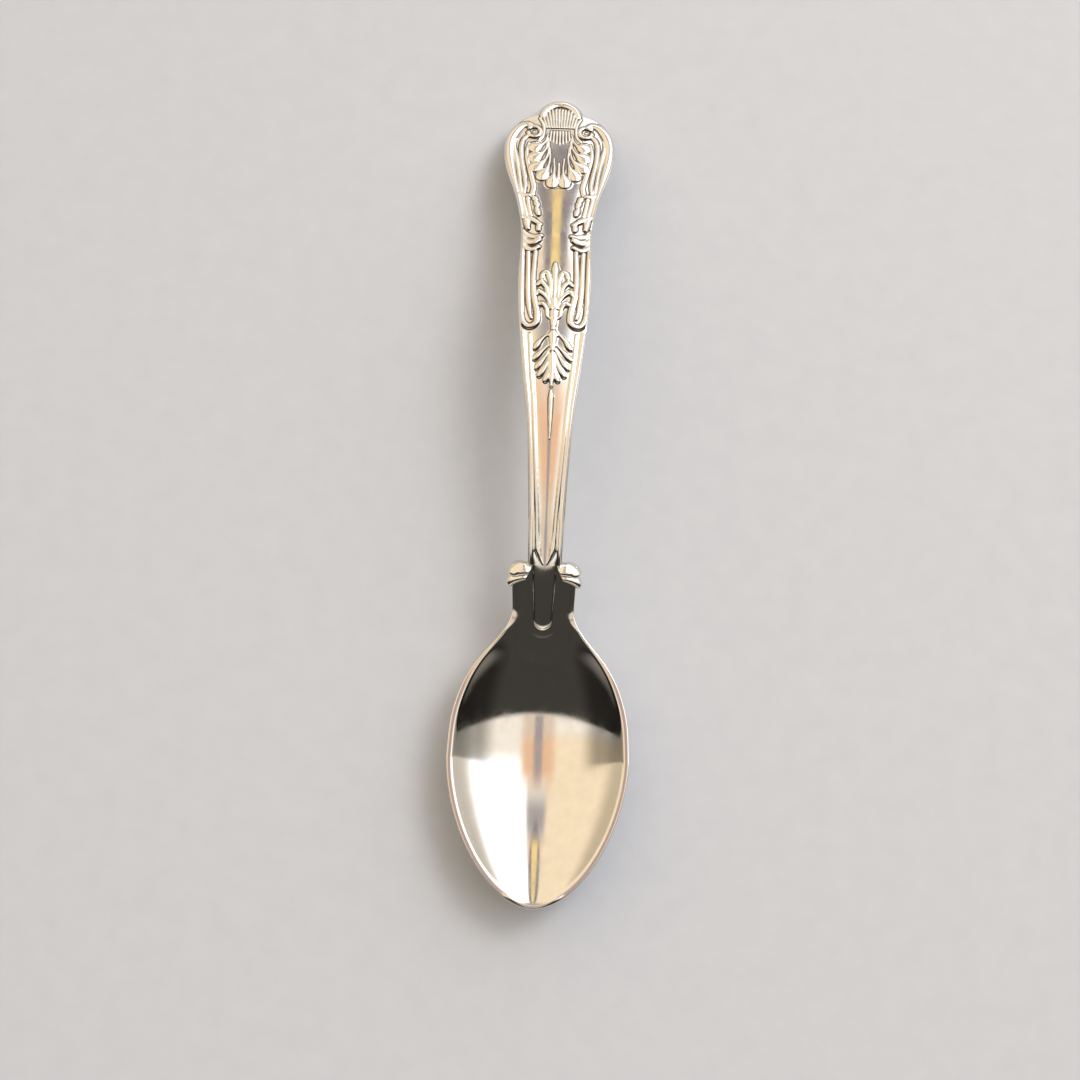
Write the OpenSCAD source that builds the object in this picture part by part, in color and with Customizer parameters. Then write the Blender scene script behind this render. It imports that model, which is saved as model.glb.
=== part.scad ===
// Teaspoon with a struck shell-and-scroll handle.
// One blank of metal, drawn here as the regions that its maker names. The bowl points to -Y,
// the handle to +Y, the dish opens to +Z, and the spoon lies on the plane z = 0 on the
// underside of its bowl and on the tip of its handle.
// Places along the spoon are distances from the tip of the bowl.

/* [Bowl] */
// Length of the bowl, from its tip to the neck
bowl_len = 47; // [42:0.5:56]
// Width of the bowl over its rim
bowl_w = 29.3; // [25:0.1:36]
// Distance from the tip to the widest place of the bowl
bowl_wide_at = 23.5; // [20:0.5:27]
// Depth of the dish below its rim
bowl_depth = 6; // [4.5:0.1:8]
// Wall at the bottom of the dish
bowl_wall = 1.2; // [0.9:0.1:1.8]
// Width of the flat land on the rim
rim_land = 0.9; // [0.6:0.1:1.3]
// Height of the upright edge of the rim
rim_edge = 0.5; // [0.4:0.05:0.8]
// How far the rim rises from its lowest place to the neck
rim_rise = 1.8; // [1:0.1:3]
// Depth of the wear flat under the bowl
wear_flat = 0.1; // [0.05:0.01:0.2]

/* [Drop] */
// Length of the drop under the bowl, from the neck
drop_len = 8; // [6:0.5:14]
// Width of the drop
drop_w = 6.4; // [4:0.1:9]
// How far the drop stands out from the back of the bowl
drop_h = 0.6; // [0.4:0.05:1]

/* [Neck] */
// Length of the neck, from the bowl to the stem
neck_len = 7.3; // [5:0.1:10]
// Width of the neck where it meets the bowl
neck_w = 9.9; // [9:0.1:11]
// Width of the neck under its lugs
shoulder_w = 10.6; // [9.6:0.1:12]
// Thickness of the neck on its centre line
neck_t = 2.8; // [2.2:0.1:3.4]
// Upright edge of the neck
neck_edge = 1.7; // [1.3:0.1:2]
// Radius of the knob at the tip of each lug
lug_r = 0.95; // [0.7:0.05:1.2]

/* [Stem] */
// Length of the stem, from the neck to the broad end
stem_len = 37.5; // [30:0.5:50]
// Width of the stem where it leaves the neck
stem_w = 5.6; // [4.6:0.1:7]
// Thickness of the stem at the neck
stem_t = 3.2; // [2.6:0.1:4]

/* [Broad end] */
// Length of the broad end of the handle
end_len = 45.2; // [42:0.2:52]
// Width over the anthemion
swell_w = 12.04; // [10:0.1:14]
// Width of the waist under the head
waist_w = 11.64; // [9.6:0.1:13]
// Width of the head
head_w = 18.64; // [16:0.1:22]
// Distance from the tip of the handle back to the swell
swell_back = 36.2; // [34:0.2:38]
// Distance from the tip of the handle back to the waist
waist_back = 28.9; // [27:0.1:31]
// Distance from the tip of the handle back to the widest place of the head
head_back = 11; // [9.5:0.1:12.5]
// Radius of the fan that ends the handle
fan_r = 4; // [3.6:0.1:4.4]
// Distance from the tip of the handle back to the shoulders of the head
head_shoulder_back = 2.7; // [2:0.1:3]
// Thickness of the handle at its tip
end_t = 1.9; // [1.5:0.1:2.6]
// Thickness of the handle at its crest
crest_t = 2.5; // [2:0.1:3.2]

/* [Arch] */
// Height of the edge of the handle at its crest
arch_h = 16; // [12:0.5:20]
// Distance from the neck to the crest
crest_at = 41; // [35:1:48]

/* [Relief] */
// Height of the ornament over the face of the handle
relief_h = 0.42; // [0.3:0.02:0.6]
// Width of one thread of the border
thread_w = 0.8; // [0.6:0.05:1]
// Width of the shell over its lobes
shell_w = 10.4; // [9:0.1:11.5]
// Length of the shell, from its hinge to its lowest lobe
shell_len = 12; // [10:0.1:13]
// Distance from the tip of the handle back to the hinge of the shell
shell_back = 6.6; // [6:0.1:7.4]
// Width of the fan of flutes over the hinge
fan_w = 6.6; // [5.6:0.1:7.2]
// Number of flutes in the fan
fan_flutes = 11; // [7:2:13]
// Outer radius of the volutes beside the hinge
volute_r = 1.5; // [1.2:0.05:1.7]
// Distance between the eyes of the two volutes
volute_span = 8.6; // [8.2:0.1:9]
// Width of the upper anthemion
upper_leaf_w = 6.1; // [5:0.1:6.6]
// Length of the upper anthemion
upper_leaf_len = 12.6; // [11:0.1:14]
// Width of the lower anthemion
lower_leaf_w = 5.9; // [5:0.1:6.4]
// Length of the lower anthemion
lower_leaf_len = 9; // [7:0.1:11]
// Length of the bead under the lower anthemion
bead_len = 9; // [6:0.5:12]

/* [Hidden] */

// Places of the joints between the regions, along the spoon
neck_at = bowl_len;
stem_at = neck_at + neck_len;
end_at = stem_at + stem_len;
tip_at = end_at + end_len;
crest_place = neck_at + crest_at;
swell_at = tip_at - swell_back;
waist_at = tip_at - waist_back;
head_at = tip_at - head_back;
hinge_at = tip_at - shell_back;

// Lowest height of the rim, and height of the neck's edge
rim_z = bowl_depth + bowl_wall - wear_flat;
neck_z = rim_z + rim_rise;

// Crown of the neck and of the handle over their edges
neck_crown = 0.35;
handle_crown = 0.3;
// Width of the flat border beside every edge of the handle
handle_land = 0.45;
// Small bevel on the rim, and the larger one on the handle
rim_bevel = 0.15;
handle_bevel = 0.32;
// Upright edge of the handle, as a share of its thickness
edge_share = 0.62;
// Half width of the blunt tips of the bowl and of the handle
tip_half = 0.35;
// How far the root of a rib reaches under the face before it is cut back to it
root = 0.16;
// Overrun of a cutting solid
over = 1;

// Shape of the outline at the tip of the bowl: powers of the curve from tip to widest place
tip_power = 1.75;
tip_round = 0.55;
// Shape of the outline of the head between its widest place and its shoulders
head_power = 2.45;
// Power of the dish across the bowl: 2 is a parabola, more is flatter with steeper sides
dish_power = 2.3;
// Share of the dish's depth by which the bowl is crowned where it meets the neck
crown_share = 0.05;
// Share of the bowl's length where its rim begins to thicken into the neck
root_share = 0.8;

// Half width from the widest place of the bowl to the neck: share of the way, share of the fall left
shoulder_shares = [
    [0, 1], [0.13, 0.985], [0.27, 0.954], [0.4, 0.877], [0.54, 0.745],
    [0.68, 0.53], [0.81, 0.25], [0.88, 0.115], [0.95, 0.022], [1, 0],
];
// Depth of the dish along the bowl: share of the length, share of the depth
dish_shares = [
    [0, 0], [0.05, 0.21], [0.12, 0.46], [0.21, 0.71], [0.32, 0.9], [0.44, 0.99], [0.52, 0.995],
    [0.6, 0.955], [0.7, 0.83], [0.81, 0.56], [0.9, 0.24], [0.96, 0.04], [1, -crown_share],
];
// Width of the handle from the neck to the swell, and from the waist to the head
flare_shares = [
    [0, 0], [0.1, 0.03], [0.22, 0.09], [0.36, 0.19], [0.5, 0.33],
    [0.63, 0.55], [0.78, 0.79], [0.9, 0.945], [1, 1],
];
head_shares = [
    [0, 0], [0.2, 0.06], [0.43, 0.29], [0.55, 0.46], [0.66, 0.66],
    [0.78, 0.85], [0.9, 0.975], [1, 1],
];
// Height of the edge up to the crest, and down to the tip: share of the way, share of the height
rise_shares = [
    [0, 0], [0.1, 0.195], [0.18, 0.365], [0.32, 0.56], [0.49, 0.755], [0.68, 0.915],
    [0.85, 0.985], [1, 1],
];
fall_shares = [[0, 1], [0.15, 0.965], [0.35, 0.83], [0.55, 0.62], [0.75, 0.36], [0.9, 0.145], [1, 0]];
// Height of the rim: share of the bowl's length, share of the rise
rim_shares = [[0, 0.12], [0.2, 0.01], [0.45, 0], [0.65, 0.12], [0.8, 0.35], [0.92, 0.7], [1, 1]];

// Lobes of one half of the shell, from the hinge to the lip: share of half width, share of length
lobe_shares = [
    [[0.34, 0.02], [0.4, 0.24], [0.9, 0.25]],
    [[0.35, 0.1], [0.36, 0.42], [0.93, 0.42]],
    [[0.31, 0.18], [0.33, 0.62], [0.9, 0.6]],
    [[0.27, 0.3], [0.26, 0.75], [0.7, 0.79]],
    [[0.12, 0.42], [0.15, 0.8], [0.24, 0.9]],
];
// Width and height of a lobe: share of the way, share of the most
lobe_width_shares = [[0, 0.3], [0.4, 0.5], [0.8, 1], [0.93, 0.9], [1, 0.45]];
lobe_height_shares = [[0, 0.25], [0.4, 0.6], [0.8, 1], [0.93, 0.8], [1, 0.3]];
// Width of a lobe, as a share of the shell's width
lobe_share = 0.19;
// Widths of the hinge and of the fringe under it, as shares of the shell's width
hinge_share = 0.4;
// Lengths of the fan and of the fringe, as shares of the shell's length
fan_share = 0.37;
fringe_share = 0.2;
// Flutes of the fringe, as a count
fringe_flutes = 7;
// Turn at which the rolled lip starts round the end of the handle, in degrees
lip_turn = 28;
// Leaves of one half of the upper anthemion: share of half width, share of length from its foot
upper_leaf_shares = [
    [[0.26, 0.14], [0.34, 0.44], [0.9, 0.4]],
    [[0.24, 0.34], [0.44, 0.56], [0.93, 0.58]],
    [[0.24, 0.42], [0.36, 0.72], [0.76, 0.73]],
    [[0.14, 0.48], [0.18, 0.8], [0.5, 0.87]],
    [[0.05, 0.5], [0.02, 0.8], [0.15, 1]],
];
// Leaves of one half of the lower anthemion: share of half width, share of length from its head
lower_leaf_shares = [
    [[0.22, 0.03], [0.55, 0.08], [0.96, 0.3]],
    [[0.24, 0.24], [0.58, 0.33], [0.98, 0.49]],
    [[0.22, 0.36], [0.46, 0.49], [0.85, 0.66]],
    [[0.13, 0.44], [0.32, 0.6], [0.68, 0.79]],
];
leaf_width_shares = [[0, 0.45], [0.5, 0.65], [0.85, 1], [1, 0.5]];
leaf_height_shares = [[0, 0.4], [0.5, 0.75], [0.85, 1], [1, 0.4]];
// Width of a leaf, and of the stalk between the leaves, as shares of the anthemion's width
leaf_share = 0.15;
stalk_share = 0.24;
// A drop that is widest near its head: share of the way, share of the width
tear_shares = [[0, 0.4], [0.12, 0.9], [0.3, 1], [0.65, 0.6], [1, 0.2]];
// Distance of each thread from the edge of the handle, as shares of a thread's width
thread_shares = [0.72, 2.25, 3.75];
stem_thread_shares = [0.62, 1.7];
// Ribbons of one half of the waist: share of half width, share of the waist's width from the waist
ribbon_shares = [
    [[0.95, 0.385], [0.7, 0.36], [0.47, 0.25]],
    [[0.95, 0.15], [0.76, 0.05], [0.44, 0.06]],
    [[0.95, 0.03], [0.76, -0.065], [0.46, 0]],
    [[0.95, -0.07], [0.74, -0.18], [0.46, -0.11]],
];
// Husks over the ribbons: ends of each, in the same shares
husk_shares = [
    [[0.63, 0.66], [0.66, 0.56]],
    [[0.6, 0.54], [0.66, 0.44]],
    [[0.5, 0.24], [0.53, 0.15]],
];
// Width of a ribbon and of a husk, as shares of a thread's width
ribbon_share = 0.85;
husk_share = 0.95;

// Counts of rings and of points across, for each region
bowl_rings = 28;
neck_rings = 5;
stem_rings = 13;
end_rings = 30;
across = 10;
// How much closer the rings of the broad end stand near its tip
tip_crowding = 1.6;
// Counts of steps along a lobe or leaf, a flute, a thread and a volute
leaf_steps = 4;
flute_steps = 2;
thread_steps = 9;
volute_steps = 9;

function clamp(k) = min(1, max(0, k));
function mix(a, b, k) = a + (b - a) * k;

// Slope of the curve through rows of [place, value], at row i
function row_slope(rows, i) =
    let (
        a = rows[max(0, i - 1)],
        b = rows[min(len(rows) - 1, i + 1)]
    )
    (b[1] - a[1]) / (b[0] - a[0]);

// Value at x of the smooth curve through rows of [place, value]
function curve(rows, x) =
    let (
        i = max([for (k = [0:len(rows) - 2]) if (k == 0 || x >= rows[k][0]) k]),
        a = rows[i],
        b = rows[i + 1],
        h = b[0] - a[0],
        k = clamp((x - a[0]) / h),
        bow = 1 - k
    )
    a[1] * (1 + 2 * k) * bow * bow + b[1] * k * k * (3 - 2 * k)
    + h * (row_slope(rows, i) * k * bow * bow - row_slope(rows, i + 1) * k * k * bow);

// Point of the bend that a row of control points gives, at k from 0 to 1
function bend(points, k) =
    len(points) == 1
    ? points[0]
    : bend([for (i = [0:len(points) - 2]) mix(points[i], points[i + 1], k)], k);

// Rows of shares turned into rows of places and values
function spread(shares, from, to, low, high) =
    [for (r = shares) [mix(from, to, r[0]), mix(low, high, r[1])]];

shoulder_rows = spread(shoulder_shares, bowl_wide_at, bowl_len, neck_w / 2, bowl_w / 2);
flare_rows = spread(flare_shares, stem_at, swell_at, stem_w / 2, swell_w / 2);
head_rows = spread(head_shares, waist_at, head_at, waist_w / 2, head_w / 2);
thick_rows = [[stem_at, stem_t], [crest_place, crest_t], [tip_at, end_t]];
rise_rows = spread(rise_shares, neck_at, crest_place, neck_z, arch_h);
fall_rows = spread(fall_shares, crest_place, tip_at, end_t - handle_crown, arch_h);
edge_rows = concat(
    spread(rim_shares, 0, neck_at, rim_z, neck_z),
    [for (i = [1:len(rise_rows) - 1]) rise_rows[i]],
    [for (i = [1:len(fall_rows) - 1]) fall_rows[i]]
);

// Outline of the bowl: half width and place, for k from 0 at the tip to 1 at the neck
function bowl_outline(k) =
    k < 0.5
    ? let (c = cos(180 * k))
        [
            max(tip_half, bowl_w / 2 * pow(1 - pow(c, tip_power), tip_round)),
            bowl_wide_at * (1 - c),
        ]
    : let (s = mix(bowl_wide_at, bowl_len, 2 * k - 1))
        [curve(shoulder_rows, s), s];

// Outline of the head past its widest place: shoulders, then the fan
function head_tip(s) =
    let (
        far = clamp((s - head_at) / (head_back - head_shoulder_back)),
        shoulder = head_w / 2 * pow(1 - pow(far, head_power), 1 / head_power),
        d = s - (tip_at - fan_r),
        fan = d > 0 ? sqrt(max(0, fan_r * fan_r - d * d)) : 0
    )
    max(tip_half, shoulder, fan);

// Half width of the neck and of the handle
function half_width(s) =
    s < stem_at ? mix(neck_w, shoulder_w, clamp((s - neck_at) / neck_len)) / 2
    : s < swell_at ? curve(flare_rows, s)
    : s < waist_at ? mix(swell_w, waist_w, (1 - cos(180 * (s - swell_at) / (waist_at - swell_at))) / 2) / 2
    : s < head_at ? curve(head_rows, s)
    : head_tip(s);

// Height of the rim, and of the edge of the neck and the handle
function edge_z(s) = curve(edge_rows, s);

// Depth of the dish below the rim; below 0 it is the crown of the neck or the handle
function dish(s) =
    s < neck_at
    ? bowl_depth * curve(dish_shares, clamp((s - rim_land) / (bowl_len - rim_land)))
    : -mix(crown_share * bowl_depth, s < stem_at ? neck_crown : handle_crown, clamp((s - neck_at) / neck_len));

// How far the bowl has turned into the neck
function rooted(s) = clamp((s / bowl_len - root_share) / (1 - root_share));

// Thickness on the centre line, and the upright part of it at the edge
function thickness(s) =
    s < neck_at ? mix(bowl_wall, neck_t, pow(rooted(s), 2))
    : s < stem_at ? neck_t
    : curve(thick_rows, s);
function upright(s) =
    s < neck_at ? mix(rim_edge, neck_edge, pow(rooted(s), 2))
    : s < stem_at ? neck_edge
    : edge_share * thickness(s);

// Land and bevel beside the edge
function land(s) = mix(rim_land, handle_land, rooted(s));
function bevel(s) = mix(rim_bevel, handle_bevel, rooted(s));

// Heights of the upper and the lower face of the handle at distance u from its centre line
function top_z(s, u) =
    let (t = clamp(abs(u) / max(half_width(s) - land(s), half_width(s) / 2)))
    edge_z(s) - dish(s) * (1 - pow(t, 2));
function back_z(s, u) =
    let (t = clamp(abs(u) / (half_width(s) - bevel(s))))
    edge_z(s) - upright(s) - (thickness(s) + dish(s) - upright(s)) * (1 - pow(t, dish_power));

// A point of the model from its place along the spoon
function at(u, s, z) = [u, s - tip_at / 2, z];

// One closed ring round the blank: outer and inner point of the edge, each [half width, place]
function ring(outer, inner, extra = 0) =
    let (
        s = outer[1],
        wide = outer[0],
        z = edge_z(s),
        b = min(bevel(s), wide / 2),
        low = z - upright(s),
        foot = low + min(b, upright(s) / 3),
        belly = thickness(s) + dish(s) - upright(s) + extra,
        power = s < neck_at ? dish_power : 2
    )
    concat(
        [at(-wide + b, s, z)],
        [for (i = [0:across])
            let (t = 2 * i / across - 1)
            at(t * inner[0], inner[1], edge_z(inner[1]) - dish(inner[1]) * (1 - pow(abs(t), power)))],
        [at(wide - b, s, z), at(wide, s, z - b), at(wide, s, foot)],
        [for (i = [0:across])
            let (t = 1 - 2 * i / across)
            at(t * (wide - b), s, low - belly * (1 - pow(abs(t), dish_power)))],
        [at(-wide, s, foot), at(-wide, s, z - b)]
    );

// Triangles that close a ring of the blank, and a ring of a rib
blank_cap = concat(
    [for (i = [0:across - 1])
        let (top = 1 + i, low = 2 * across + 4 - i)
        each [[top, top + 1, low], [top, low, low + 1]]],
    [for (i = [0:2]) [across + 1, across + 2 + i, across + 3 + i]],
    [for (i = [0:1]) [1, 2 * across + 5 + i, 2 * across + 6 + i]],
    [[0, 1, 2 * across + 7]]
);
rib_cap = [[0, 1, 2], [0, 2, 3], [0, 3, 4]];

// Solid through a list of rings with the same number of points
module loft(rings, cap) {
    n = len(rings[0]);
    last = (len(rings) - 1) * n;
    skin = [
        for (r = [0:len(rings) - 2]) for (i = [0:n - 1])
            let (a = r * n + i, b = r * n + (i + 1) % n)
            each [[a, a + n, b], [b, a + n, b + n]]
    ];
    polyhedron(
        points = [for (r = rings) each r],
        faces = concat(skin, cap, [for (f = cap) [f[2] + last, f[1] + last, f[0] + last]])
    );
}

// Point of the rim's inner edge, square to the outline at k
function rim_inner(k) =
    let (
        step = 0.1 / bowl_rings,
        p = bowl_outline(k),
        d = bowl_outline(min(1, k + step)) - bowl_outline(max(0, k - step)),
        way = land(p[1]) / norm(d)
    )
    [max(tip_half / 2, p[0] - way * d[1]), p[1] + way * d[0]];

// Rings of the bowl; extra lowers its back evenly, for the drop
function bowl_rings_with(extra = 0) =
    concat(
        [ring([tip_half, 0], [tip_half / 2, 0], extra)],
        [for (i = [1:bowl_rings - 1])
            let (k = i / bowl_rings)
            ring(bowl_outline(k), rim_inner(k), extra)],
        [ring([neck_w / 2, neck_at], [neck_w / 2 - land(neck_at), neck_at], extra)]
    );

// Rings of the handle between two places; extra lowers its back, less and less along it
function handle_rings(from, to, count, crowding = 1, extra = 0) =
    [for (i = [0:count])
        let (
            s = mix(to, from, pow(1 - i / count, crowding)),
            w = half_width(s)
        )
        ring([w, s], [max(w - land(s), w / 2), s], extra * (1 - i / count))];

// Raised rib along a path of [distance from the centre line, place, width, height];
// face 1 lays it on the upper face, face -1 on the back
function rib_rings(path, face) =
    [for (i = [0:len(path) - 1])
        let (
            p = path[i],
            d = path[min(len(path) - 1, i + 1)] - path[max(0, i - 1)],
            way = [d[1], -d[0]] / norm([d[0], d[1]]) * face
        )
        [for (q = [[-0.58, -root], [-0.3, 0.8 * p[3]], [0, p[3]], [0.3, 0.8 * p[3]], [0.58, -root]])
            let (
                u = p[0] + q[0] * p[2] * way[0],
                s = p[1] + q[0] * p[2] * way[1]
            )
            at(u, s, face > 0 ? top_z(s, u) + q[1] : back_z(s, u) - q[1])]];

module rib(path, face = 1) {
    loft(rib_rings(path, face), rib_cap);
}

// Each child on the right and its mirror image on the left
module both_sides() {
    for (side = [0, 1])
        mirror([side, 0, 0])
        children();
}

// Path along a bend of points, with width and height by rows of shares
function stroke(points, wide, high, steps, widths, heights) =
    [for (i = [0:steps])
        let (k = i / steps, p = bend(points, k))
        [p[0], p[1], wide * curve(widths, k), high * curve(heights, k)]];

// Shares of a drawn box turned into places: half its width, its foot and its signed length
function boxed(points, half, foot, length) =
    [for (p = points) [p[0] * half, foot + p[1] * length]];

// Point at a distance d inside the edge of the handle
function inside_edge(s, d) =
    let (
        step = handle_bevel,
        way = [half_width(s + step) - half_width(s - step), 2 * step],
        unit = way / norm(way)
    )
    [half_width(s) - d * unit[1], s + d * unit[0]];

// Path of a thread at a distance d inside the edge
function thread(from, to, d, wide, high, steps = thread_steps) =
    [for (i = [0:steps]) concat(inside_edge(mix(from, to, i / steps), d), [wide, high])];

module bowl_form() {
    difference() {
        loft(bowl_rings_with(), blank_cap);
        translate([-bowl_w / 2, -tip_at / 2 - over, -over])
            cube([bowl_w, bowl_len + over, over]);
    }
}

module neck_form() {
    loft(handle_rings(neck_at, stem_at, neck_rings), blank_cap);
}

// Bowl and neck in one, with the back lowered by extra
module bowl_and_neck(extra = 0) {
    neck_part = handle_rings(neck_at, stem_at, neck_rings, 1, extra);
    loft(concat(
        bowl_rings_with(extra),
        [for (i = [1:neck_rings]) neck_part[i]]
    ), blank_cap);
}

module stem_form() {
    loft(handle_rings(stem_at, end_at, stem_rings), blank_cap);
}

module end_form() {
    loft(handle_rings(end_at, tip_at, end_rings, tip_crowding), blank_cap);
}

module bowl() {
    color("gainsboro") bowl_form();
}

// Tongue that runs out under the neck and the bowl, where the metal of the handle ends
module drop() {
    drop_run = drop_len + 0.9 * neck_len;
    drop_span = min(drop_w, 1.8 * half_width(neck_at - drop_len + drop_run));
    drop_lap = drop_h / 10;
    color("silver")
        difference() {
            intersection() {
                translate([0, 0, -drop_lap])
                    bowl_and_neck(drop_h - drop_lap);
                translate([0, neck_at - drop_len + drop_span / 2 - tip_at / 2, 0])
                    linear_extrude(height = neck_z + neck_len)
                    union() {
                        circle(d = drop_span, $fn = 32);
                        translate([-drop_span / 2, 0])
                            square([drop_span, drop_run - drop_span / 2]);
                    }
            }
            bowl_and_neck();
        }
}

module neck() {
    color("gainsboro") neck_form();
}

// The crown of the stem, running out over the neck
module neck_ridge() {
    ridge_shares = [[0, 1], [0.5, 0.85], [0.85, 0.65], [1, 0.4]];
    high_shares = [[0, 1], [0.5, 0.75], [0.85, 0.4], [1, 0.1]];
    color("silver")
        difference() {
            rib(stroke(
                [[0, stem_at], [0, neck_at + neck_len * crown_share]],
                0.86 * stem_w, 1.2 * relief_h, leaf_steps, ridge_shares, high_shares
            ));
            neck_form();
        }
}

// Rolled shoulders beside the root of the stem
module shoulder_curls() {
    roll_shares = [[0, 0.8], [0.6, 1], [1, 0.75]];
    tip_shares = [[0, 0.9], [0.6, 1], [1, 0.5]];
    outer = shoulder_w / 2;
    line = stem_at - lug_r;
    color("silver")
        difference() {
            both_sides() {
                rib(stroke(
                    [[stem_w / 2, line], [0.8 * outer, line], [outer, line - 0.4 * lug_r]],
                    2 * lug_r, 1.6 * relief_h, leaf_steps, roll_shares, roll_shares
                ));
                rib(stroke(
                    [[0.88 * outer, line], [1.02 * outer, line - 0.3 * lug_r], [outer, line - 2 * lug_r]],
                    1.2 * lug_r, 1.7 * relief_h, leaf_steps, tip_shares, tip_shares
                ));
            }
            neck_form();
        }
}

module stem() {
    color("gainsboro") stem_form();
}

module handle_end() {
    color("gainsboro") end_form();
}

// One half of the shell's lobes
module lobes(face, high) {
    half = shell_w / 2;
    for (shares = lobe_shares)
        rib(stroke(
            boxed(shares, half, hinge_at, -shell_len), lobe_share * shell_w, high,
            leaf_steps, lobe_width_shares, lobe_height_shares
        ), face);
}

module shell() {
    hinge = hinge_share * shell_w;
    fan_top = hinge_at + fan_share * shell_len;
    flute_shares = [[0, 0.8], [0.5, 1], [1, 1.3]];
    even_shares = [[0, 0.6], [0.5, 1], [1, 0.6]];
    pitch = hinge / (fan_flutes - 1);
    lip = fan_r - 0.75 * thread_w;
    color("whitesmoke")
        difference() {
            union() {
                both_sides() lobes(1, relief_h);
                for (i = [0:fan_flutes - 1])
                    let (k = 2 * i / (fan_flutes - 1) - 1)
                    rib(stroke(
                        [[k * hinge / 2, hinge_at], [k * fan_w / 2, fan_top - abs(k) * fan_r / 4]],
                        0.75 * pitch, 0.5 * relief_h, flute_steps, flute_shares, even_shares
                    ));
                for (i = [0:fringe_flutes - 1])
                    let (k = 2 * i / (fringe_flutes - 1) - 1)
                    rib(stroke(
                        [[0.8 * k * hinge / 2, hinge_at], [k * hinge / 2, hinge_at - fringe_share * shell_len]],
                        0.75 * pitch, 0.5 * relief_h, flute_steps, flute_shares, even_shares
                    ));
                rib([for (i = [0:volute_steps])
                    let (a = mix(lip_turn, 180 - lip_turn, i / volute_steps))
                    [lip * cos(a), tip_at - fan_r + lip * sin(a), 1.1 * thread_w, 0.8 * relief_h]]);
            }
            end_form();
        }
}

// Volute beside the hinge, run on as the outer thread of the border
function volute_thread() =
    let (
        eye = [volute_span / 2, hinge_at],
        r = volute_r - 0.45 * thread_w,
        d = thread_shares[0] * thread_w,
        join_at = tip_at - 2 * head_shoulder_back,
        join = inside_edge(join_at, d),
        last_at = mix(waist_at, head_at, 0.25)
    )
    concat(
        [for (i = [0:volute_steps])
            let (k = i / volute_steps, a = mix(415, 90, k), way = mix(0.5, 1, pow(k, 0.7)) * r)
            [eye[0] + way * cos(a), eye[1] + way * sin(a), mix(0.7, 0.9, k) * thread_w, 0.9 * relief_h]],
        [for (k = [0.35, 0.7])
            concat(
                bend([eye + [0, r], [mix(eye[0], join[0], 0.65), eye[1] + 1.15 * r], join], k),
                [mix(0.9, 1.5, k) * thread_w, relief_h]
            )],
        [for (i = [0:thread_steps + 2])
            let (k = i / (thread_steps + 2))
            concat(
                inside_edge(mix(join_at, last_at, pow(k, 1.4)), d),
                [mix(1.6, 1, k) * thread_w, 0.9 * relief_h]
            )]
    );

// Threads of the lower border, joined under the swell by a turn
function turned_thread() =
    let (
        top = waist_at - 0.2 * waist_w,
        outer = 0.6 * thread_w,
        inner = 2.9 * thread_w,
        turn_at = end_at + 1.3 * inner,
        r = (inner - outer) / 2,
        mid = inside_edge(turn_at, outer + r)
    )
    concat(
        thread(top, turn_at, outer, thread_w, 0.8 * relief_h, thread_steps - 2),
        [for (i = [1:5]) let (a = -36 * i)
            [mid[0] + r * cos(a), mid[1] + r * sin(a), thread_w, 0.9 * relief_h]],
        thread(turn_at + r / 2, top, inner, 0.9 * thread_w, 0.7 * relief_h, thread_steps - 2)
    );

module scroll_borders() {
    head_top = hinge_at - 1.2 * volute_r;
    collar = mix(waist_at, head_at, 0.5);
    color("whitesmoke")
        difference() {
            both_sides() {
                rib(volute_thread());
                rib(thread(head_top, collar, thread_shares[1] * thread_w, 0.8 * thread_w, 0.6 * relief_h));
                rib(thread(
                    head_top - volute_r / 2, collar, thread_shares[2] * thread_w,
                    thread_w, 0.7 * relief_h
                ));
                rib(turned_thread());
                rib(thread(
                    waist_at - 0.2 * waist_w, end_at + 4 * thread_w, 1.8 * thread_w,
                    0.7 * thread_w, 0.6 * relief_h, thread_steps - 3
                ));
            }
            end_form();
        }
}

module ribbon_bands() {
    band_shares = [[0, 0.8], [0.5, 1], [1, 0.7]];
    color("whitesmoke")
        difference() {
            both_sides() {
                for (shares = ribbon_shares)
                    rib(stroke(
                        boxed(shares, waist_w / 2, waist_at, waist_w), ribbon_share * thread_w,
                        relief_h, leaf_steps, band_shares, band_shares
                    ));
                for (shares = husk_shares)
                    rib(stroke(
                        boxed(shares, waist_w / 2, waist_at, waist_w), husk_share * thread_w,
                        0.8 * relief_h, flute_steps, [[0, 0.5], [0.5, 1], [1, 0.6]], band_shares
                    ));
            }
            end_form();
        }
}

module upper_anthemion() {
    half = upper_leaf_w / 2;
    foot = end_at + thread_w;
    color("whitesmoke")
        difference() {
            union() {
                both_sides()
                    for (shares = upper_leaf_shares)
                        rib(stroke(
                            boxed(shares, half, foot, upper_leaf_len), leaf_share * upper_leaf_w,
                            relief_h, leaf_steps, leaf_width_shares, leaf_height_shares
                        ));
                rib(stroke(
                    [[0, foot], [0, foot + 0.56 * upper_leaf_len]], stalk_share * upper_leaf_w,
                    relief_h, leaf_steps, [[0, 0.5], [0.6, 1], [1, 0.5]], leaf_height_shares
                ));
            }
            end_form();
        }
}

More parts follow.
